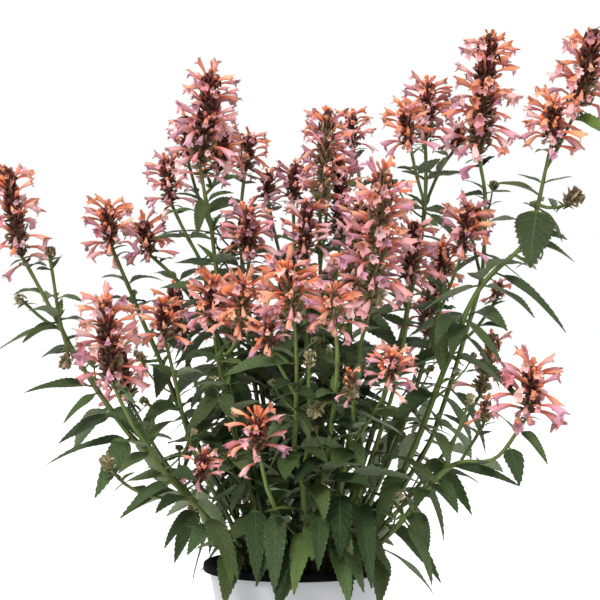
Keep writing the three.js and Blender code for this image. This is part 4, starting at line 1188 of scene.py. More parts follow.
    def add_shoots(self) -> None:
        """Adds thin side shoots, each with small leaves and a bud head, where there is room."""
        draws = self.draws
        for grown in self.sprays:
            main = grown.stems[0]
            distance = draws.uniform(*FIRST_SHOOT)
            while main.below_head(distance + SHOOT_FOOT) is not None:
                root = main.below_head(distance)
                distance += draws.uniform(*SHOOT_GAPS)
                angle, size = TURN * draws.random(), draws.uniform(*SHOOT_LENGTHS)
                out = np.array([math.cos(angle), math.sin(angle), 0]) * draws.uniform(*SHOOT_LEANS)
                low, high = (out + UP * rise for rise in SHOOT_RISES)
                bend, tip = root + low * size * 0.5, root + high * size
                top = tip + unit(tip - bend) * draws.uniform(*BUD_LENGTHS)
                mood = Mood.GREEN if draws.random() < GREEN_BUDS else Mood.DRY
                head = Head(as_seen(top), draws.uniform(*BUD_GIRTHS), mood=mood)
                shoot = Stem(np.array([root, bend, tip]), head, *SHOOT_RADII, TWIG_STEP / 2)
                centres, radii = shoot.stem_balls()
                away = np.linalg.norm(centres - root, axis=1) > SHOOT_CLEAR
                if not self.inside(np.vstack([centres, top]), SHOOT_MARGIN) or in_open_place(centres):
                    continue
                if self.room.touched(centres[away], radii[away] * SHOOT_ROOM):
                    continue
                self.room.add(grown.owner, centres, radii)
                grown.stems.append(shoot)
                grown.flowers.append([])
                for share in SHOOT_PAIRS:
                    place = shoot.below_head(share * size)
                    for half in (0, 180):
                        self.tuck(grown, SHOOT_LEAF.draw(draws, place, 360 * share + half))

    def add_bracts(self, grown: Grown, stem: Stem) -> None:
        """Adds the small leaves right below a head."""
        place = stem.below_head(BRACT_DISTANCE)
        start = math.degrees(TURN * self.draws.random())
        for number in range(BRACTS):
            bract = BRACT.draw(self.draws, place, start + 90 * number)
            bract.size += stem.head.girth * 0.5
            self.tuck(grown, bract)

    def tuck(self, grown: Grown, pair: Pair) -> None:
        """Adds a leaf that needs no room of its own."""
        leaf = pair.leaf()
        if self.inside(np.vstack([leaf.root, leaf.tip]), LEAF_MARGIN):
            grown.leaves.append(leaf)


def within_sides(centres: Array) -> bool:
    """Whether centres keep to the outline of the plant above the pot, seen from the front."""
    spread = LATE_SPREAD + SPREAD_RISE * (centres[:, 2] - LIP_TOP).clip(0)
    return bool((np.abs(centres[:, 0]) < spread).all())


def in_open_place(centres: Array) -> bool:
    """Whether any centre is seen from the front where the background shows through the plant."""
    nearer = VIEWER_DISTANCE / (VIEWER_DISTANCE + centres[:, 1])
    across = centres[:, 0] * nearer
    up = VIEWER_HEIGHT + (centres[:, 2] - VIEWER_HEIGHT) * nearer
    x, z, radius = OPEN_PLACES.T
    return bool((np.hypot(across[:, None] - x, up[:, None] - z) < radius).any())


def placed_leaf(stem: Stem, height: float, tip: Place, width: float) -> Leaf:
    """A leaf whose root is where its stem is seen at this height."""
    target = seen((0, 0, height))[2]
    distance = 0.0
    root = stem.below_head(distance)
    while root[2] > target and stem.below_head(distance + ROOT_STEP) is not None:
        distance += ROOT_STEP
        root = stem.below_head(distance)
    out = seen(tip) - root
    face = -FACE * out[0] / math.hypot(out[0], out[1])
    return Leaf(root, seen(tip), width, *PLACED_BOW, 0.0, face=face)


def shifted(leaf: Leaf) -> list[Leaf]:
    """What a placed leaf tries: as it is, then with its tip moved a little, and then shorter."""
    tips = [leaf.tip] + [leaf.tip + np.array(move, float) for move in MOVES]
    tips.append(leaf.root + (leaf.tip - leaf.root) * SHORTENED)
    return [replace(leaf, tip=tip) for tip in tips]


def leaf_pairs(stem: Stem, seed: int, foot: float) -> list[Pair]:
    """The pairs down a stem, small below the head and larger further down.

    A grown leaf is about 56 mm longer than the youngest one. Young leaves rise by 22 degrees and
    grown ones hang by 40. Young pairs stand 24 mm apart and grown ones 37.

    Args:
        stem: what they grow on.
        seed: of the draws.
        foot: they end this far above the stem's root.

    Returns:
        Both leaves of each pair, each pair a quarter turn from the last.
    """
    draws = Draws(seed)
    pairs = []
    distance = FIRST_PAIR
    number = 0
    while stem.below_head(distance + foot) is not None:
        root = stem.below_head(distance)
        grown = min(1.0, distance / GROWN_DISTANCE)
        turned = 90 * number + 50 + 24 * (draws.next() - 0.5)
        for half in (0, 180):
            size = SMALLEST_PAIR + 56 * math.sqrt(grown) * (0.8 + 0.4 * draws.next())
            rise = 22 - 62 * grown + 30 * (draws.next() - 0.5)
            roll = 1.1 * (draws.next() - 0.5)
            pairs.append(Pair(root, turned + half, size, rise, roll, 0.36 + 0.16 * grown))
        distance += 24 + 13 * grown + 6 * draws.next()
        number += 1
    return pairs


class Finish(Enum):
    """The finishes of the plant and its pots."""

    WHITE_POT = "white_pot"
    BLACK_POT = "black_pot"
    SOIL = "soil"
    STEM = "stem"
    LEAF = "leaf_upper"
    UNDERSIDE = "leaf_underside"
    CALYX = "calyx"
    COROLLA = "corolla"
    STAMEN = "stamen"


ORDER = list(Finish)


class Body:
    """Closed tubes gathered into one mesh.

    Each vertex carries a look: how far along its part it is, a tone drawn for the part, and a
    trait whose meaning is the finish's. Leaves also carry their own place on the blade.
    """

    def __init__(self) -> None:
        self.points: list[Array] = []
        self.looks: list[Array] = []
        self.blades: list[Array] = []
        self.quads: list[Array] = []
        self.tris: list[Array] = []
        self.quad_finishes: list[Array] = []
        self.tri_finishes: list[Array] = []
        self.count = 0

    def add(self, rings: Array, start: Array, end: Array, finish: Finish | Array,
            look: Array, blade: Array | None = None) -> None:
        """Adds N tubes of R rings with S sides, closed by fans to a start and an end point.

        Args:
            rings: (N, R, S, 3) places. Sides run so that outward faces result.
            start, end: (N, 3) places of the fans' points.
            finish: of all faces, or one finish number for each side.
            look: broadcasts to (N, R, S, 3).
            blade: the same, for leaves.
        """
        tubes, count, sides, _ = rings.shape
        look = np.broadcast_to(look, rings.shape)
        blade = np.zeros(rings.shape) if blade is None else np.broadcast_to(blade, rings.shape)
        for store, values, low, high in (
            (self.points, rings, start, end),
            (self.looks, look, look[:, 0].mean(1), look[:, -1].mean(1)),
            (self.blades, blade, blade[:, 0].mean(1), blade[:, -1].mean(1)),
        ):
            flat = values.reshape(tubes, -1, 3)
            store.append(np.concatenate([flat, low[:, None], high[:, None]], 1).reshape(-1, 3))
        size = count * sides + 2
        base = self.count + np.arange(tubes)[:, None] * size
        side = np.arange(sides)
        following = (side + 1) % sides
        ring = np.arange(count - 1)[:, None] * sides
        quad = np.stack([ring + side, ring + following, ring + following + sides, ring + side + sides], -1)
        first, last = count * sides, count * sides + 1
        top = (count - 1) * sides
        fans = np.concatenate([
            np.stack([np.full(sides, first), following, side], -1),
            np.stack([top + side, top + following, np.full(sides, last)], -1),
        ])
        numbers = np.full(sides, ORDER.index(finish)) if isinstance(finish, Finish) else finish
        self.quads.append((quad.reshape(1, -1, 4) + base[..., None]).reshape(-1, 4))
        self.tris.append((fans[None] + base[..., None]).reshape(-1, 3))
        self.quad_finishes.append(np.tile(numbers, tubes * (count - 1)))
        self.tri_finishes.append(np.tile(numbers, tubes * 2))
        self.count += tubes * size

    def triangles(self) -> int:
        """How many triangles the mesh comes to."""
        return 2 * sum(map(len, self.quads)) + sum(map(len, self.tris))

    def build(self, name: str, materials: dict[Finish, "bpy.types.Material"]) -> bpy.types.Object:
        """Makes the object.

        Args:
            name: of the object.
            materials: of all finishes. Only those in use go on the object.

        Returns:
            A linked object with smooth faces and sharp edges, inside the solids' box.
        """
        points = np.clip(np.concatenate(self.points) * METRES, *CAD_BOX)
        quads, tris = np.concatenate(self.quads), np.concatenate(self.tris)
        finishes = np.concatenate(self.quad_finishes + self.tri_finishes)
        used, numbers = np.unique(finishes, return_inverse=True)
        mesh = bpy.data.meshes.new(name)
        mesh.vertices.add(len(points))
        mesh.vertices.foreach_set("co", points.ravel())
        corners = np.concatenate([quads.ravel(), tris.ravel()])
        starts = np.concatenate([
            np.arange(len(quads)) * 4,
            4 * len(quads) + np.arange(len(tris)) * 3,
        ])
        mesh.loops.add(len(corners))
        mesh.loops.foreach_set("vertex_index", corners.astype(np.int32))
        mesh.polygons.add(len(starts))
        mesh.polygons.foreach_set("loop_start", starts.astype(np.int32))
        mesh.polygons.foreach_set("material_index", numbers.astype(np.int32))
        for title, values in (("look", self.looks), ("blade", self.blades)):
            layer = mesh.attributes.new(title, "FLOAT_VECTOR", "POINT")
            layer.data.foreach_set("vector", np.concatenate(values).ravel())
        mesh.update(calc_edges=True)
        for number in used:
            mesh.materials.append(materials[ORDER[number]])
        mesh.shade_smooth()
        mesh.set_sharp_from_angle(angle=SHARP_ANGLE)
        piece = bpy.data.objects.new(name, mesh)
        bpy.context.scene.collection.objects.link(piece)
        return piece


def ring_angles(sides: int, first: float = 0.0) -> Array:
    """Evenly spaced angles, from the first."""
    return first + TURN * np.arange(sides) / sides


def looks(along: Array | float, tone: Array | float, trait: Array | float) -> Array:
    """Stacks the three values of a look; each broadcasts to the others."""
    return np.stack(np.broadcast_arrays(*(np.asarray(v, float) for v in (along, tone, trait))), -1)


def tubes(centres: Array, side: Array, across: Array, radii: Array, sides: int) -> Array:
    """Round rings about centre lines.

    Args:
        centres: (N, R, 3) places.
        side, across: (N, 1 or R, 3) directions of the section, at right angles.
        radii: at least three axes or fewer that fit (N, R, sides).
        sides: corners of each ring.

    Returns:
        (N, R, sides, 3) places: centre + radius * (side * cos + across * sin).
    """
    angle = ring_angles(sides)[:, None]
    turn = side[:, :, None] * np.cos(angle) + across[:, :, None] * np.sin(angle)
    return centres[:, :, None] + turn * np.asarray(radii)[..., None]


def frames(directions: Array, towards: Array = UP) -> tuple[Array, Array]:
    """A level side and what is above, at right angles to each direction."""
    side = np.cross(directions, towards)
    short = np.linalg.norm(side, axis=-1, keepdims=True) < 0.05
    side = unit(np.where(short, EAST, side))
    above = unit(np.cross(side, directions))
    return np.cross(above, directions), above


class Dresser:
    """Adds the parts of the plant to a body."""

    def __init__(self, body: Body, seed: int) -> None:
        self.body = body
        self.draws = np.random.default_rng(seed)

    def stem(self, stem: Stem, nodes: list[Array], rooted: bool, tone: float) -> None:
        """A stem with a rounded square section, thicker and redder at its nodes.

        Args:
            stem: its line and radii.
            nodes: places where leaves grow on it.
            rooted: whether it goes on down into the soil.
            tone: how pale it is.
        """
        line, shares = stem.line, stem.shares
        spans = np.linalg.norm(np.diff(line, axis=0), axis=1)
        length = np.concatenate([[0], np.cumsum(spans)])
        stops = np.linspace(0, length[-1], max(4, round(length[-1] / STEM_RING)))
        points = np.stack([np.interp(stops, length, line[:, k]) for k in range(3)], -1)
        share = np.interp(stops, length, shares)
        for _ in range(2):
            points[1:-1] = (points[:-2] + 2 * points[1:-1] + points[2:]) / 4
        if rooted:
            foot = points[0] - UP * np.array([[FREE_FOOT + ROOT_DEPTH - 1], [FREE_FOOT * 0.7]])
            points, share = np.vstack([foot, points]), np.concatenate([[0, 0], share])
        else:
            points[0] -= unit(points[1] - points[0]) * 0.6
        tangent = unit(np.gradient(points, axis=0))
        side = unit(np.cross(NORTH, tangent))
        across = np.cross(tangent, side)
        swell = np.zeros(len(points))
        if nodes:
            gaps = np.linalg.norm(points[:, None] - np.array(nodes), axis=-1).min(1)
            swell = np.exp(-((gaps / NODE_REACH) ** 2))
        corner = np.cos(4 * ring_angles(STEM_CORNERS))
        square = SQUARE_RADIUS + SQUARE_CORNER * corner
        radius = stem.radius(share) * (1 + NODE_SWELL * swell) * (1 - SLIMMING * share * rooted)
        rings = tubes(points[None], side[None], across[None], radius[:, None] * square, STEM_CORNERS)
        look = looks(share[:, None], tone, swell[:, None])[None]
        # The corners of the section are painted lighter in the stem's finish: painted highlights along its
        # edges.
        corner_highlight = looks(0.5 + 0.5 * corner, 0, 0)
        self.body.add(rings, points[None, 0], points[None, -1], Finish.STEM, look, corner_highlight)

    def leaves(self, leaves: list[Leaf], teeth: int, sides: int) -> None:
        """Leaves with pointed teeth along both edges.

        Each ring runs round the flattened section: v is 1 at one edge and -1 at the other. The
        edge of a tooth's tip lies ahead of its ring, and the edge waves up and down a little.

        Args:
            leaves: of about one size.
            teeth: on each edge.
            sides: of the flattened section, 8 or 4.
        """
        if not leaves:
            return
        count = len(leaves)
        root, tip, width, fold, face, fresh = (
            np.array([getattr(leaf, key) for leaf in leaves])[:, None, None]
            for key in ("root", "tip", "width", "fold", "face", "fresh"))
        bends = zip(*(leaf.bend() for leaf in leaves))
        middle, side = (np.array(values)[:, None, None] for values in bends)
        length = np.linalg.norm(tip - root, axis=-1)
        broad = np.where(np.abs(root[..., 0]) > OUTER_PART, OUTER_BROAD_LEAF, BROAD_LEAF)
        slim = np.minimum(width, broad + BROAD_SHARE * (width - broad))
        width = np.where((width > BROADEST_GROWN) & (length < SHORT_LEAF * width), width, slim)
        draw = self.draws.random((5, count, 1, 1))

        rows = np.arange(2 * teeth)
        is_tip = (rows % 2)[:, None]
        step = 1 / (2 * teeth)
        blade = BLADE_FROM + (BLADE_TO - BLADE_FROM) * (rows / (2 * teeth - 1))[:, None]
        stride = 8 // sides
        v = np.array([1, 0.5, 0, -0.5, -1, -0.5, 0, 0.5])[::stride]
        top = np.array([0, -1, -1, -1, 0, 1, 1, 1])[::stride]
        edge = (np.abs(v) > 0.9) * 1.0
        shift = edge * step * (TOOTH_LEAN * is_tip - NOTCH_LEAN * (1 - is_tip))
        share = np.clip(blade + shift, 0.004, 0.996)
        notch = 1 - edge * (1 - is_tip) * TOOTH_DEPTH * (1 - 0.55 * blade)
        half = ovate(blade) * BLADE_HALF * width * notch + 0.5
        wave = EDGE_WAVE * edge * half * np.sin(TURN * (1.6 * blade + draw[0]) + 2.1 * np.sign(v))
        thick = BLADE_THICKNESS * np.sqrt(1 - v**2) * (1 - 0.5 * blade)
        groove = -MIDRIB_GROOVE * ((top < 0) & (v == 0)) * (1 - blade)
        lift = wave + top * thick + groove

        stalk = STALK_PLACES[:, None]
        stalk_half = STALK_RADIUS * STALK_SWELL[:, None]
        every = np.concatenate([np.broadcast_to(PETIOLE_SHARE * stalk, (3, sides)), on_leaf(share)])
        every = np.broadcast_to(every, (count, *every.shape))
        scale = np.minimum(1, length / FULL_STALK)
        stalk_half = np.broadcast_to(stalk_half * scale, (count, 3, 1))
        half = np.concatenate([np.broadcast_to(stalk_half, (count, 3, sides)), half], 1)
        stalk_lift = stalk_half * top * np.sqrt(1 - v**2)
        lift = np.concatenate([stalk_lift, np.broadcast_to(lift, (count, *lift.shape[1:]))], 1)
        offset = half * v
        twist = TWIST * (draw[1] - 0.5) * every**2
        turned = unit(side + UP * (twist + face)[..., None])
        folded = fold * (0.3 + 3.4 * draw[2] ** 2)
        rings = leaf_points(root, middle, tip, turned, every, offset, folded, lift)
        on_blade = (every - PETIOLE_SHARE) / (1 - PETIOLE_SHARE)
        look = looks(every, draw[3], np.clip(fresh + 0.5 * (draw[4] - 0.5), 0, 1))
        place = looks(on_blade, v, 0)
        upper, under = ORDER.index(Finish.LEAF), ORDER.index(Finish.UNDERSIDE)
        finish = np.where(np.arange(sides) < sides / 2, under, upper)
        self.body.add(rings, root[:, 0, 0], tip[:, 0, 0], finish, look, place)

    def calyxes(self, base: Array, direction: Array, length: Array, width: Array, green: Array) -> None:
        """Narrow cups with three points, open at the end.

        Args:
            base, direction: (N, 3).
            length, width, green: (N,) sizes in mm, and how green each is.
        """
        count = len(base)
        side, above = frames(direction)
        length, width = length[:, None, None], width[:, None, None]
        pointed = np.arange(CALYX_CORNERS) % 2
        foot = np.zeros((count, 1, CALYX_CORNERS))
        reach = np.concatenate([foot, length * (CUP_DEPTH + (1 - CUP_DEPTH) * pointed)], 1)
        radius = np.concatenate([foot + CALYX_FOOT * width, width * (1 - POINT_TAPER * pointed)], 1)
        rings = tubes(base[:, None], side[:, None], above[:, None], radius, CALYX_CORNERS)
        rings = rings + direction[:, None, None] * reach[..., None]
        deep = base + direction * length[:, 0] * 0.55
        tone = self.draws.random((count, 1, 1))
        look = looks(reach / length, tone, green[:, None, None])
        self.body.add(rings, base, deep, Finish.CALYX, look)

    def head(self, stem: Stem) -> None:
        """A column of calyxes in close rows, with a dark core, club buds and a tuft on top."""
        head, draws = stem.head, self.draws
        green = head.mood.value[1]
        shares = np.linspace(0, 0.97, CORE_RINGS)
        centres = stem.base + stem.axis * (shares * stem.height)[:, None]
        core = stem.column(shares) * CORE_SHARE
        core[0] = stem.tip * 0.8
        side, across = stem.side[None, None], stem.across[None, None]
        rings = tubes(centres[None], side, across, core[:, None], CORE_CORNERS)
        ends = (stem.base[None], (stem.base + stem.axis * stem.height * 0.99)[None])
        self.body.add(rings, *ends, Finish.CALYX, looks(0.0, 0.2, green))

        rows = max(3, round(stem.height / CALYX_ROW))
        share, angle = [], []
        for row in range(rows):
            middle = (row + 0.45) / rows
            gap = CALYX_GAP if head.flowers else BUD_GAP
            many = max(5, round(TURN * float(stem.column(middle)) / gap))
            angle.append(ring_angles(many, 0.7 * row) + 0.35 * draws.standard_normal(many))
            share.append(middle + 0.27 * draws.standard_normal(many) / rows)
        share = np.clip(np.concatenate(share), 0.02, 0.93)
        angle = np.concatenate(angle)
        self.spread_calyxes(stem, share, angle, green)
        tuft = 5 + round(head.girth * 0.4)
        self.spread_calyxes(stem, np.full(tuft, 0.9), ring_angles(tuft, draws.random()), green, 1.15)

        buds = round(head.flowers * BUDS_PER_FLOWER)
        if buds:
            share = draws.uniform(0.25, 0.95, buds)
            angle = TURN * draws.random(buds)
            self.clubs(stem, share, angle)

    def spread_calyxes(self, stem: Stem, share: Array, angle: Array, green: float,
                       more: float = 0.0) -> None:
        """Calyxes whose tips reach a little past the column, pointing out and up."""
        draws = self.draws
        count = len(share)
        rise = np.radians(18) + 0.8 * share**2 + 0.34 * draws.standard_normal(count) + more * 0.5
        out, direction = self.leaning(stem, angle, rise)
        bare = not stem.head.flowers
        reach = stem.column(share) * draws.uniform(0.8, 1.28, count) * (1 + BUD_SPREAD * bare)
        longest = draws.uniform(*CALYX_LENGTHS, count)
        length = np.minimum((reach - 1.0) / np.cos(np.minimum(rise, 1.1)), longest)
        length = np.maximum(length, SHORTEST_CALYX)
        level = np.minimum(share * stem.height + 2.5, stem.height - 1)[:, None]
        tip = stem.base + stem.axis * level + out * reach[:, None]
        lower = (0.55 - 1.6 * share) * 0.6 * (not bare)
        shade = np.clip(green + lower + 0.22 * draws.standard_normal(count), 0, 1)
        width = draws.uniform(*CALYX_WIDTHS, count)
        self.calyxes(tip - direction * length[:, None], direction, length, width, shade)

    def leaning(self, stem: Stem, angle: Array, rise: Array) -> tuple[Array, Array]:
        """Directions straight out of a stem at these angles, and the same as they lean up."""
        out = stem.side * np.cos(angle)[:, None] + stem.across * np.sin(angle)[:, None]
        return out, unit(out * np.cos(rise)[:, None] + stem.axis * np.sin(rise)[:, None])

    def clubs(self, stem: Stem, share: Array, angle: Array) -> None:
        """Flowers still closed: small clubs that stick out of the column."""
        draws = self.draws
        count = len(share)
        rise = np.radians(5 + 60 * share + 12 * draws.standard_normal(count))
        _, direction = self.leaning(stem, angle, rise)
        start = stem.base + stem.axis * (share * stem.height)[:, None]
        inner = stem.column(share) * 0.7
        length = inner * 0.3 + draws.uniform(0.16, 0.46, count) * stem.head.reach
        reach = inner[:, None] + length[:, None] * CLUB_PLACES
        centres = start[:, None] + direction[:, None] * reach[..., None]
        side, above = frames(direction)
        radius = CLUB_RADII[:, None] * draws.uniform(0.65, 1.15, (count, 1, 1))
        rings = tubes(centres, side[:, None], above[:, None], radius, CLUB_CORNERS)
        end = start + direction * (inner + length * 1.05)[:, None]
        tone = draws.random((count, 1, 1))
        orange = np.clip(stem.head.mood.value[0] + 0.45, 0, 1)
        look = looks(CLUB_COLOURS[:, None], tone, orange)
        self.body.add(rings, centres[:, 0], end, Finish.COROLLA, look)

    def corollas(self, stem: Stem, flowers: list[Flower]) -> None:
        """Open flowers: a slim tube that widens into a straight two-lobed upper lip and a
        hanging lower lip of three lobes. Each has a calyx round its foot, and stamens."""
        if not flowers:
            return
        draws = self.draws
        count = len(flowers)
        start, direction, inside, length, share = (
            np.array([getattr(flower, key) for flower in flowers]).reshape(count, -1)
            for key in ("start", "direction", "inside", "length", "share"))
        side, above = frames(direction)
        spin = 0.4 * draws.standard_normal((count, 1))
        side, above = (side * np.cos(spin) + above * np.sin(spin),
                       above * np.cos(spin) - side * np.sin(spin))
        size = (length / COROLLA_LENGTH)[..., None] * draws.uniform(0.85, 1.2, (count, 1, 1))

        bulge, drop = draws.uniform(0.02, 0.2, (count, 1)), draws.uniform(-0.06, 0.24, (count, 1))
        place = np.concatenate([TUBE_PLACES, [1.0, 0.92]])
        lift = 4 * bulge * place * (1 - place) - drop * place**2
        slope = 4 * bulge * (1 - 2 * place) - 2 * drop * place
        centres = (start[:, None] + direction[:, None] * (inside + length * place)[..., None]
                   + above[:, None] * (length * lift)[..., None])
        ahead = unit(direction[:, None] + above[:, None] * slope[..., None])
        upward = unit(above[:, None] - direction[:, None] * slope[..., None])
        angle = np.radians(LOBES[:, 0])
        turn = (side[:, None, None] * np.cos(angle)[:, None]
                + upward[:, :, None] * np.sin(angle)[:, None])
        rim = LOBES[:, 1] * draws.uniform(0.76, 1.22, (count, 1, len(LOBES)))
        radius = np.concatenate([
            np.broadcast_to(size * TUBE_RADII[:, None], (count, len(TUBE_RADII), len(LOBES))),
            size * rim,
            np.broadcast_to(size * THROAT_RADIUS, (count, 1, len(LOBES))),
        ], 1)
        reach = np.zeros(radius.shape)
        reach[:, -2] = (size * LOBES[:, 2])[:, 0] + draws.uniform(-1, 1, (count, len(LOBES)))
        rings = centres[:, :, None] + turn * radius[..., None] + ahead[:, :, None] * reach[..., None]
        deep = start + direction * (inside + length * 0.6) + above * (length * 4 * bulge * 0.24)
        low = start + direction * (inside - length * 0.12)
        orange = stem.head.mood.value[0] + (share - 0.45) * 0.9 + 1.0 * (draws.random((count, 1)) - 0.5)
        tone = draws.random((count, 1, 1))
        along = place[:, None] + reach / length[..., None] + 0.05 * (radius / size - 3).clip(0)
        around = np.clip(orange[..., None] + 0.3 * np.sin(angle), 0, 1)
        self.body.add(rings, low, deep, Finish.COROLLA, looks(along, tone, around))

        green = np.clip(stem.head.mood.value[1] + 0.15 * draws.standard_normal(count), 0, 1)
        foot = start + direction * (inside - 5)
        self.calyxes(foot, direction, np.full(count, 9.0), np.full(count, 1.75), green)

        for _ in range(STAMENS):
            aside, lifted = draws.uniform(-0.16, 0.16, (count, 1)), draws.uniform(0.02, 0.2, (count, 1))
            line = unit(ahead[:, 2] + (side * aside + above * lifted))
            mouth = centres[:, 2] + upward[:, 2] * size[:, 0] * 0.8
            out = length * 0.25 + draws.uniform(3.0, 7.5, (count, 1)) * size[:, 0]
            steps = np.array([0.3, 0.88])[None, :, None]
            strand = mouth[:, None] + line[:, None] * out[:, None] * steps
            radii = np.array([0.3, 0.5])[None, :, None]
            rings = tubes(strand, side[:, None], above[:, None], radii, 3)
            self.body.add(rings, mouth, mouth + line * out, Finish.STAMEN, looks(steps, tone, 0.5))


class Signal:
    """A value in a material's nodes, with the arithmetic of plain numbers."""

    def __init__(self, tree: "Tree", socket: bpy.types.NodeSocket) -> None:
        self.tree = tree
        self.socket = socket

    def __add__(self, other: "Value") -> "Signal":
        """The sum."""
        return self.tree.math("ADD", self, other)

    def __sub__(self, other: "Value") -> "Signal":
        """What is left when the other is taken away."""
        return self.tree.math("SUBTRACT", self, other)

    def __rsub__(self, other: "Value") -> "Signal":
        """What is left of the other."""
        return self.tree.math("SUBTRACT", other, self)

    def __mul__(self, other: "Value") -> "Signal":
        """The product."""
        return self.tree.math("MULTIPLY", self, other)

    __radd__ = __add__
    __rmul__ = __mul__

    def absolute(self) -> "Signal":
        """The value without its sign."""
        return self.tree.math("ABSOLUTE", self)

    def pingpong(self, scale: float) -> "Signal":
        """Runs up and down between 0 and the scale."""
        return self.tree.math("PINGPONG", self, scale)

    def smooth(self, low: "Value", high: "Value") -> "Signal":
        """0 below low and 1 above high, with a smooth step between."""
        settings = {"interpolation_type": "SMOOTHSTEP"}
        values = {"Value": self, "From Min": low, "From Max": high}
        return self.tree.add("ShaderNodeMapRange", settings, values)


Value = Signal | float
Colour = Signal | tuple[float, float, float]


class Tree:
    """The nodes of one material."""

    def __init__(self, name: str) -> None:
        self.material = bpy.data.materials.new(name)
        self.material.use_nodes = True
        self.nodes = self.material.node_tree.nodes
        self.nodes.clear()

    def add(self, kind: str, settings: dict | None = None, values: dict | None = None,
            output: int | str = 0) -> Signal:
        """Adds a node.

        Args:
            kind: the node's type.
            settings: its properties.
            values: numbers, colours or signals for its sockets, by name or number.
            output: the socket to return.

        Returns:
            That output.
        """
        node = self.nodes.new(kind)
        for key, value in (settings or {}).items():
            setattr(node, key, value)
        for key, value in (values or {}).items():
            self.put(node.inputs[key], value)
        return Signal(self, node.outputs[output] if node.outputs else None)

    def put(self, socket: bpy.types.NodeSocket, value: "Value | Colour") -> None:
        """Links a signal to a socket, or sets the socket's own value."""
        if isinstance(value, Signal):
            self.material.node_tree.links.new(value.socket, socket)
        elif isinstance(value, tuple) and socket.type == "RGBA":
            socket.default_value = (*value, 1.0)
        else:
            socket.default_value = value

    def math(self, operation: str, *values: Value) -> Signal:
        """A plain calculation."""
        return self.add("ShaderNodeMath", {"operation": operation}, dict(enumerate(values)))

    def mix(self, share: Value, low: Colour, high: Colour) -> Signal:
        """A colour between two."""
        values = {0: share, 6: low, 7: high}
        return self.add("ShaderNodeMix", {"data_type": "RGBA"}, values, 2)

    def brighten(self, colour: Colour, scale: Signal) -> Signal:
        """A colour times a number."""
        values = {"Vector": colour, "Scale": scale}
        return self.add("ShaderNodeVectorMath", {"operation": "SCALE"}, values)

    def split(self, title: str) -> tuple[Signal, Signal, Signal]:
        """The three values of a vertex attribute."""
        vector = self.add("ShaderNodeAttribute", {"attribute_name": title}, None, "Vector")
        node = self.add("ShaderNodeSeparateXYZ", None, {0: vector}).socket.node
        return tuple(Signal(self, node.outputs[k]) for k in range(3))

    def noise(self, scale: float, detail: float = 3.0, stretch: Place = (1, 1, 1)) -> Signal:
        """Noise over the object's own coordinates, in waves a metre."""
        place = self.add("ShaderNodeTexCoord", None, None, "Object")
        values = {0: place, 1: stretch}
        place = self.add("ShaderNodeVectorMath", {"operation": "MULTIPLY"}, values)
        return self.add("ShaderNodeTexNoise", None, {"Vector": place, "Scale": scale, "Detail": detail})

    def surface(self, colour: Colour, roughness: Value, height: Signal | None = None,
                depth: float = 0.0, **constants: float) -> bpy.types.Material:
        """Ends the material in one shader.

        Args:
            colour, roughness: of the surface.
            height: relief, 0 to 1.
            depth: what 1 stands for, in metres.
            constants: more of the shader's sockets, with spaces as underscores.

        Returns:
            The material.
        """
        values = {"Base Color": colour, "Roughness": roughness}
        values |= {key.replace("_", " "): value for key, value in constants.items()}
        values.setdefault("Specular IOR Level", PLANT_SPECULAR)
        if height is not None:
            values["Normal"] = self.add("ShaderNodeBump", None, {"Height": height, "Distance": depth})
        shader = self.add("ShaderNodeBsdfPrincipled", None, values)
        self.add("ShaderNodeOutputMaterial", None, {"Surface": shader})
        return self.material


@dataclass(frozen=True)
class LeafPaint:
    """A leaf's face: net of veins, and a tone that differs from leaf to leaf."""

    dark: Place
    light: Place
    olive: Place
    fresh: Place
    vein: Place
    stalk: Place
    vein_share: float
    roughness: float
    relief: float

    def material(self, name: str) -> bpy.types.Material:
        """Side veins run out and forward from the midrib: they lie where 7.5 u - 1.5 |v| is
        whole, with u along the blade and v across it."""
        tree = Tree(name)
        _, tone, fresh = tree.split("look")
        u, v, _ = tree.split("blade")
        across = v.absolute()
        near = (u * 7.5 - across * 1.5).pingpong(0.5)
        side_vein = 1 - near.smooth(0.0, 0.09 + 0.03 * across)
        midrib = 1 - across.smooth(0.02, 0.07)
        veins = tree.math("MAXIMUM", midrib, side_vein * 0.75)
        cells = tree.add("ShaderNodeTexVoronoi", {"feature": "DISTANCE_TO_EDGE"}, {
            "Vector": tree.add("ShaderNodeTexCoord", None, None, "Object"), "Scale": 270.0})
        patch = tree.noise(60.0)
        colour = tree.mix(tone * 0.95 + patch * 0.5 - 0.22, self.dark, self.light)
        colour = tree.mix(tree.math("FRACT", tone * 5).smooth(0.3, 1.0) * 0.4, colour, self.olive)
        colour = tree.mix(fresh.smooth(0.55, 1.05) * 0.8, colour, self.fresh)
        colour = tree.mix(veins * self.vein_share, colour, self.vein)
        colour = tree.mix(u.smooth(0.05, 0.0), colour, self.stalk)
        height = cells.smooth(0.0, 0.3) * 0.8 + near.smooth(0.0, 0.5) * 0.35 - veins * 0.7
        return tree.surface(colour, self.roughness, height, self.relief)


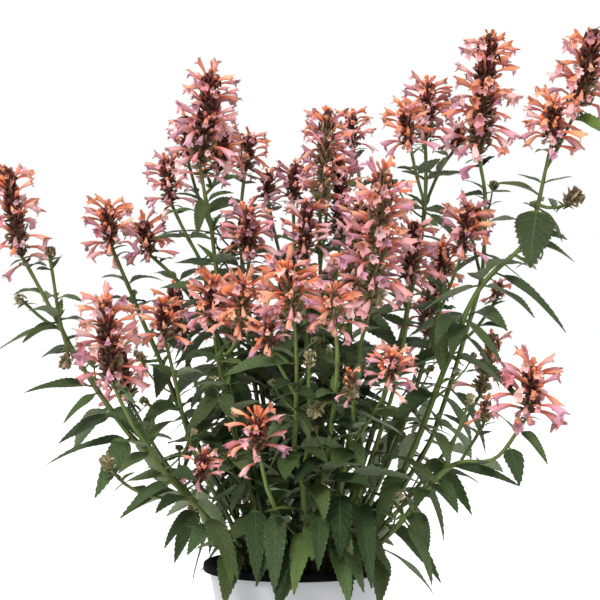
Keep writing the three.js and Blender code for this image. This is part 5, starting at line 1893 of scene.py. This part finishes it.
@dataclass(frozen=True)
class StemPaint:
    """Green stems, redder at the nodes, with fine ridges along them. Their corners are painted lighter as
    highlights, and towards the soil they turn dark, partly as a woody base and partly as painted shade.
    """

    green: Place
    pale: Place
    red: Place
    woody_and_shade: Place

    def material(self, name: str) -> bpy.types.Material:
        """The trait is how near a node is."""
        tree = Tree(name)
        _, tone, node = tree.split("look")
        corner_highlight, _, _ = tree.split("blade")
        patch = tree.noise(90.0, 3.0, (1, 1, 0.25))
        # Pale towards the corners of the section: painted highlights along the stem's edges.
        colour = tree.mix(tone * 0.6 + patch * 0.5 + corner_highlight * 0.4 - 0.36, self.green, self.pale)
        colour = tree.mix(node * patch.smooth(0.35, 0.65) * 0.6, colour, self.red)
        # From 235 mm down to the lip at 185 mm the stems darken: partly a woody base, partly painted shade
        # of the crowded foot of the plant in the pot.
        place = tree.add("ShaderNodeTexCoord", None, None, "Object")
        height = tree.add("ShaderNodeSeparateXYZ", None, {0: place}, "Z")
        colour = tree.mix(height.smooth(0.235, 0.185) * 0.85, colour, self.woody_and_shade)
        return tree.surface(colour, 0.5, patch, 0.0003)


@dataclass(frozen=True)
class CalyxPaint:
    """Maroon cups, paler at their points, greener where the trait says so."""

    dark: Place
    tip: Place
    green: Place
    khaki: Place

    def material(self, name: str) -> bpy.types.Material:
        """Along runs from 0 at the foot to 1 at the points."""
        tree = Tree(name)
        along, tone, green = tree.split("look")
        colour = tree.mix(along.smooth(0.35, 1.0) * (0.3 + 0.7 * tone), self.dark, self.tip)
        grown = tree.mix(tone * 0.8 + along * 0.4, self.green, self.khaki)
        colour = tree.mix(green, colour, grown)
        return tree.surface(colour, 0.62, tree.noise(700.0), 0.0003)


@dataclass(frozen=True)
class CorollaPaint:
    """Petals: a warm tube that turns to pink at the lips, or stays orange on young flowers."""

    tube: Place
    tube_orange: Place
    rose: Place
    pale: Place
    lilac: Place
    orange: Place
    peach: Place

    def material(self, name: str) -> bpy.types.Material:
        """The trait is the share of orange."""
        tree = Tree(name)
        along, tone, orange = tree.split("look")
        tube = tree.mix(orange, self.tube, self.tube_orange)
        pink = tree.mix(tone, self.rose, self.pale)
        pink = tree.mix(tree.math("FRACT", tone * 7).smooth(0.35, 1.0) * 0.9, pink, self.lilac)
        warm = tree.mix(tree.math("FRACT", tone * 11), self.orange, self.peach)
        lips = tree.mix(orange.smooth(0.35, 0.95), pink, warm)
        colour = tree.mix(along.smooth(0.25, 0.85), tube, lips)
        streak = tree.noise(500.0)
        shade = 0.72 + 0.48 * tree.math("FRACT", tone * 13)
        colour = tree.brighten(colour, (0.6 + 0.6 * streak) * shade)
        return tree.surface(colour, 0.55, streak, 0.0002, Sheen_Weight=0.15)


@dataclass(frozen=True)
class PlainPaint:
    """A finish of two tones in patches."""

    low: Place
    high: Place
    patch: float
    roughness: float
    relief: float = 0.0
    coat: float = 0.0
    tone_share: float = 0.0
    specular: float = 0.5

    def material(self, name: str) -> bpy.types.Material:
        """The patches are noise, and each part's own tone may count as well."""
        tree = Tree(name)
        _, tone, _ = tree.split("look")
        patch = tree.noise(self.patch)
        share = patch * (1 - self.tone_share) + tone * self.tone_share
        colour = tree.mix(share, self.low, self.high)
        return tree.surface(colour, self.roughness, patch, self.relief, Coat_Weight=self.coat,
                            Specular_IOR_Level=self.specular)


PAINTS = {
    # The white pot gets a light grey in place of its own white: painted shade, so that it looks as dim as
    # a white pot in the plant's shade.
    Finish.WHITE_POT: PlainPaint((0.37, 0.38, 0.40), (0.42, 0.43, 0.445), 9.0, 0.36, 0.00003, 0.15),
    Finish.BLACK_POT: PlainPaint((0.0012, 0.0012, 0.0015), (0.0035, 0.0035, 0.004), 120.0, 0.65, 0.00008,
                                 specular=0.03),
    Finish.SOIL: PlainPaint((0.010, 0.007, 0.006), (0.055, 0.034, 0.024), 260.0, 0.95, 0.0012,
                            tone_share=0.5, specular=0.1),
    # Stems: green, pale, red at the nodes, and a near-black foot that is partly woody and partly painted
    # shade.
    Finish.STEM: StemPaint((0.040, 0.068, 0.018), (0.175, 0.240, 0.070), (0.120, 0.040, 0.026),
                           (0.018, 0.015, 0.009)),
    Finish.LEAF: LeafPaint((0.012, 0.026, 0.008), (0.078, 0.122, 0.048), (0.078, 0.088, 0.026),
                           (0.125, 0.200, 0.040), (0.098, 0.142, 0.066), (0.085, 0.130, 0.035), 0.4, 0.5,
                           0.00045),
    Finish.UNDERSIDE: LeafPaint((0.100, 0.135, 0.072), (0.240, 0.290, 0.180), (0.170, 0.185, 0.090),
                                (0.180, 0.240, 0.085), (0.240, 0.290, 0.170), (0.095, 0.135, 0.045), 0.5,
                                0.7, -0.00045),
    Finish.CALYX: CalyxPaint((0.046, 0.009, 0.008), (0.310, 0.112, 0.095), (0.090, 0.098, 0.028),
                             (0.440, 0.390, 0.220)),
    Finish.COROLLA: CorollaPaint((0.52, 0.140, 0.090), (0.66, 0.140, 0.050), (0.63, 0.215, 0.240),
                                 (0.90, 0.580, 0.550), (0.57, 0.265, 0.380), (0.82, 0.220, 0.085),
                                 (0.82, 0.400, 0.240)),
    Finish.STAMEN: PlainPaint((0.20, 0.11, 0.13), (0.45, 0.28, 0.29), 300.0, 0.6, tone_share=0.5,
                              specular=0.2),
}


def lathe(profile: Array, sides: int) -> Array:
    """The rings (1, R, sides, 3) of a profile of radius and height, turned about the Z axis."""
    angle = ring_angles(sides)
    radius, height = profile[:, :1], np.broadcast_to(profile[:, 1:], (len(profile), sides))
    return np.stack([radius * np.cos(angle), radius * np.sin(angle), height], -1)[None]


def rounded(corners: list[tuple[float, float, float]]) -> Array:
    """A profile with its corners rounded.

    Args:
        corners: radius, height, and how far the rounding reaches along both sides.

    Returns:
        Points of radius and height: each corner becomes a quadratic curve of five points.
    """
    points = []
    places = np.array(corners)[:, :2]
    for i, here in enumerate(places):
        reach = corners[i][2]
        if reach == 0 or i in (0, len(corners) - 1):
            points.append(here[None])
            continue
        before = here + unit(places[i - 1] - here) * reach
        after = here + unit(places[i + 1] - here) * reach
        points.append(bezier(before, here, after, np.linspace(0, 1, 5)))
    return np.vstack(points)


def fine(profile: Array, longest: float) -> Array:
    """A profile with its long straight parts divided."""
    points = [profile[:1]]
    for low, high in zip(profile, profile[1:]):
        parts = max(1, math.ceil(np.linalg.norm(high - low) / longest))
        points.append(low + (high - low) * (np.arange(1, parts + 1) / parts)[:, None])
    return np.vstack(points)


class Pots:
    """The outer pot, the nursery pot and the soil."""

    def wall(self, height: float) -> float:
        """The nursery pot's outer radius at a height, clear of the outer pot's wall."""
        waist = (OUTER_WAIST_RADIUS, OUTER_WAIST_HEIGHT)
        if height >= OUTER_WAIST_HEIGHT:
            foot, top = waist, (OUTER_TOP_RADIUS, LIP_TOP - LIP_HEIGHT)
        else:
            foot, top = (OUTER_FOOT_RADIUS, 0.0), waist
        share = (height - foot[1]) / (top[1] - foot[1])
        return foot[0] + (top[0] - foot[0]) * share - OUTER_WALL - NURSERY_CLEAR

    def turned(self, profile: Array, finish: Finish) -> Body:
        """A body turned from a profile that starts and ends on the axis."""
        body = Body()
        rings = lathe(fine(profile[1:-1], 12.0), POT_SIDES)
        ends = (np.array([[0, 0, profile[k, 1]]]) for k in (0, -1))
        body.add(rings, *ends, finish, looks(0.0, 0.5, 0.0))
        return body

    def outer(self) -> Body:
        """A tapered pot that widens a little more above its waist."""
        top, wall = LIP_TOP - LIP_HEIGHT - GAP, OUTER_WALL
        return self.turned(rounded([
            (0, 0, 0), (OUTER_FOOT_RADIUS, 0, 2.5), (OUTER_WAIST_RADIUS, OUTER_WAIST_HEIGHT, 9),
            (OUTER_TOP_RADIUS, top, 0.8), (OUTER_TOP_RADIUS - wall, top, 0.8),
            (OUTER_WAIST_RADIUS - wall, OUTER_WAIST_HEIGHT, 9),
            (OUTER_FOOT_RADIUS - wall, OUTER_FLOOR, 2), (0, OUTER_FLOOR, 0),
        ]), Finish.WHITE_POT)

    def nursery(self) -> Body:
        """A thin pot with a rolled lip that rests on the outer one's rim."""
        foot, waist, wall = NURSERY_FOOT_HEIGHT, OUTER_WAIST_HEIGHT, NURSERY_WALL
        neck = LIP_TOP - LIP_HEIGHT
        return self.turned(rounded([
            (0, foot, 0), (self.wall(foot), foot, 2), (self.wall(waist), waist, 6),
            (self.wall(neck), neck, 0.6), (LIP_RADIUS, neck, 0.7), (LIP_RADIUS, LIP_TOP, LIP_ROLL),
            (LIP_RADIUS - LIP_ROLL * 1.6, LIP_TOP, 1.2), (self.wall(neck) - wall, neck + 1, 1.5),
            (self.wall(waist) - wall, waist, 6), (self.wall(foot) - wall, foot + wall, 2),
            (0, foot + wall, 0),
        ]), Finish.BLACK_POT)

    def soil(self) -> Body:
        """Potting soil with a rough top, crumbs and bits of bark."""
        draws = np.random.default_rng(SOIL_SEED)
        inside = NURSERY_WALL + GAP
        foot = NURSERY_FOOT_HEIGHT + NURSERY_WALL + GAP
        edge = SOIL_TOP - SOIL_DOME
        rim = self.wall(edge) - inside - 0.4
        waist = self.wall(OUTER_WAIST_HEIGHT) - inside
        profile = [(self.wall(foot) - inside - 1, foot), (waist, OUTER_WAIST_HEIGHT)]
        radii = np.linspace(rim, 2.0, SOIL_RINGS)
        heights = SOIL_TOP - SOIL_DOME * (radii / rim) ** 4
        rings = lathe(np.vstack([profile, np.stack([radii, heights], -1)]), POT_SIDES)
        x, y = rings[0, 2:, :, 0], rings[0, 2:, :, 1]
        rough = np.zeros_like(x)
        for wave, size in SOIL_WAVES:
            for _ in range(4):
                heading, phase = TURN * draws.random(2)
                along = x * math.cos(heading) + y * math.sin(heading)
                rough += size * 0.5 * np.sin(TURN * along / wave / 1.7 + phase)
        rings[0, 2:, :, 2] += np.minimum(rough, 2.0) - 1.0
        body = Body()
        body.add(rings, np.array([[0, 0, foot]]), np.array([[0, 0, SOIL_TOP - 1]]), Finish.SOIL,
                 looks(0.0, 0.35, 0.0))
        out = (rim - 6) * np.sqrt(draws.random(CRUMBS))
        angle = TURN * draws.random(CRUMBS)
        level = np.full(CRUMBS, SOIL_TOP - 1.2)
        centre = np.stack([out * np.cos(angle), out * np.sin(angle), level], -1)
        axis = unit(draws.standard_normal((CRUMBS, 3)) * (1, 1, 0.4))
        side, above = frames(axis)
        size = draws.uniform(0.7, 2.1, (CRUMBS, 1, 1)) * draws.uniform(0.75, 1.25, (CRUMBS, 2, 5))
        length = draws.uniform(0.8, 3.2, CRUMBS)[:, None]
        ends = (centre - axis * length, centre + axis * length)
        pair = np.stack([centre - axis * length * 0.55, centre + axis * length * 0.55], 1)
        rings = tubes(pair, side[:, None], above[:, None], size, 5)
        body.add(rings, *ends, Finish.SOIL, looks(0.0, draws.random((CRUMBS, 1, 1)), 0.0))
        return body


class Scene:
    """Makes the pieces, puts them in the frame, and sets the stage."""

    def __init__(self) -> None:
        low, high = (np.array(corner) / METRES for corner in CAD_BOX)
        self.plant = Plant(low, high)
        self.materials = {finish: paint.material(finish.value) for finish, paint in PAINTS.items()}
        self.total = 0

    def place(self, body: Body, name: str, node: str, slot: str) -> None:
        """Builds a piece that stands for a node of the solids."""
        piece = body.build(name, self.materials)
        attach(piece, "root")
        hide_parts(node)
        self.total += body.triangles()
        LOG.info("%s: %d triangles", name, body.triangles())

    def make_pots(self) -> None:
        """The pots and the soil."""
        pots = Pots()
        self.place(pots.outer(), "white_outer_pot", "outer_pot", "white_pot")
        self.place(pots.nursery(), "black_nursery_pot", "nursery_pot", "black_pot")
        self.place(pots.soil(), "potting_soil", "soil", "soil")

    def make_sprays(self) -> None:
        """One piece for each leafy stem, and one for each spike with a name."""
        for number, grown in enumerate(self.plant.sprays):
            green = Body()
            dresser = Dresser(green, GREEN_SEED + number)
            roots = [leaf.root for leaf in grown.leaves]
            for j, stem in enumerate(grown.stems):
                tones = PALE_TONES if grown.spray.name in PALE_STEMS else (0, 1)
                dresser.stem(stem, roots, j == 0, dresser.draws.uniform(*tones))
            sizes = [np.linalg.norm(leaf.tip - leaf.root) for leaf in grown.leaves]
            for low, high, teeth, sides in LEAF_GRADES:
                grade = [leaf for leaf, size in zip(grown.leaves, sizes) if low <= size < high]
                dresser.leaves(grade, teeth, sides)
            for stem, flowers in zip(grown.stems, grown.flowers):
                if stem.head.name is None:
                    dresser.head(stem)
                    dresser.corollas(stem, flowers)
            name = grown.spray.name
            self.place(green, f"spray_{name}", f"stem_{name}", "foliage")
            for j, (stem, flowers) in enumerate(zip(grown.stems, grown.flowers)):
                if stem.head.name is not None:
                    spike = Body()
                    dresser = Dresser(spike, SPIKE_SEED + 10 * number + j)
                    dresser.head(stem)
                    dresser.corollas(stem, flowers)
                    node = f"spike_{stem.head.name}"
                    self.place(spike, f"flowers_{stem.head.name}", node, "flowers")
        LOG.info("%d triangles in all", self.total)

    def set_stage(self) -> None:
        """A white floor, a white surround, soft lights and the camera."""
        mesh = bpy.data.meshes.new("floor")
        half = FLOOR_SIZE / 2
        corners = [(-half, -half, 0), (half, -half, 0), (half, half, 0), (-half, half, 0)]
        mesh.from_pydata(corners, [], [(0, 1, 2, 3)])
        floor = bpy.data.objects.new("floor", mesh)
        tree = Tree("floor")
        mesh.materials.append(tree.surface((0.93, 0.93, 0.93), 0.9))
        bpy.context.scene.collection.objects.link(floor)

        world = bpy.data.worlds.new("studio")
        world.use_nodes = True
        background = world.node_tree.nodes["Background"]
        background.inputs["Color"].default_value = (1, 1, 1, 1)
        background.inputs["Strength"].default_value = WORLD_STRENGTH
        bpy.context.scene.world = world
        self.add_sun("key", KEY_PLACE, KEY_SPREAD, KEY_POWER)
        bpy.context.scene.view_settings.view_transform = "Standard"

        camera = bpy.data.cameras.new("camera")
        camera.lens = CAMERA_LENS
        camera.sensor_width = 36.0
        holder = bpy.data.objects.new("camera", camera)
        bpy.context.scene.collection.objects.link(holder)
        self.aim(holder, CAMERA_PLACE, CAMERA_TARGET)
        bpy.context.scene.camera = holder

    def add_sun(self, name: str, place: Place, spread: float, power: float) -> None:
        """A soft light from afar, which comes from the direction of a place."""
        light = bpy.data.lights.new(name, "SUN")
        light.angle = math.radians(spread)
        light.energy = power
        holder = bpy.data.objects.new(name, light)
        bpy.context.scene.collection.objects.link(holder)
        self.aim(holder, place, LIT_PLACE)

    def aim(self, holder: bpy.types.Object, place: Place, target: Place) -> None:
        """Puts an object at a place, looking at a target."""
        turn = (Vector(target) - Vector(place)).to_track_quat("-Z", "Y").to_matrix()
        holder.matrix_world = Matrix.Translation(place) @ turn.to_4x4()


def main() -> None:
    """Builds the scene."""
    logging.basicConfig(level=logging.INFO)
    scene = Scene()
    scene.make_pots()
    scene.make_sprays()
    scene.set_stage()
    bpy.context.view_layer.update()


if __name__ == "__main__":
    main()
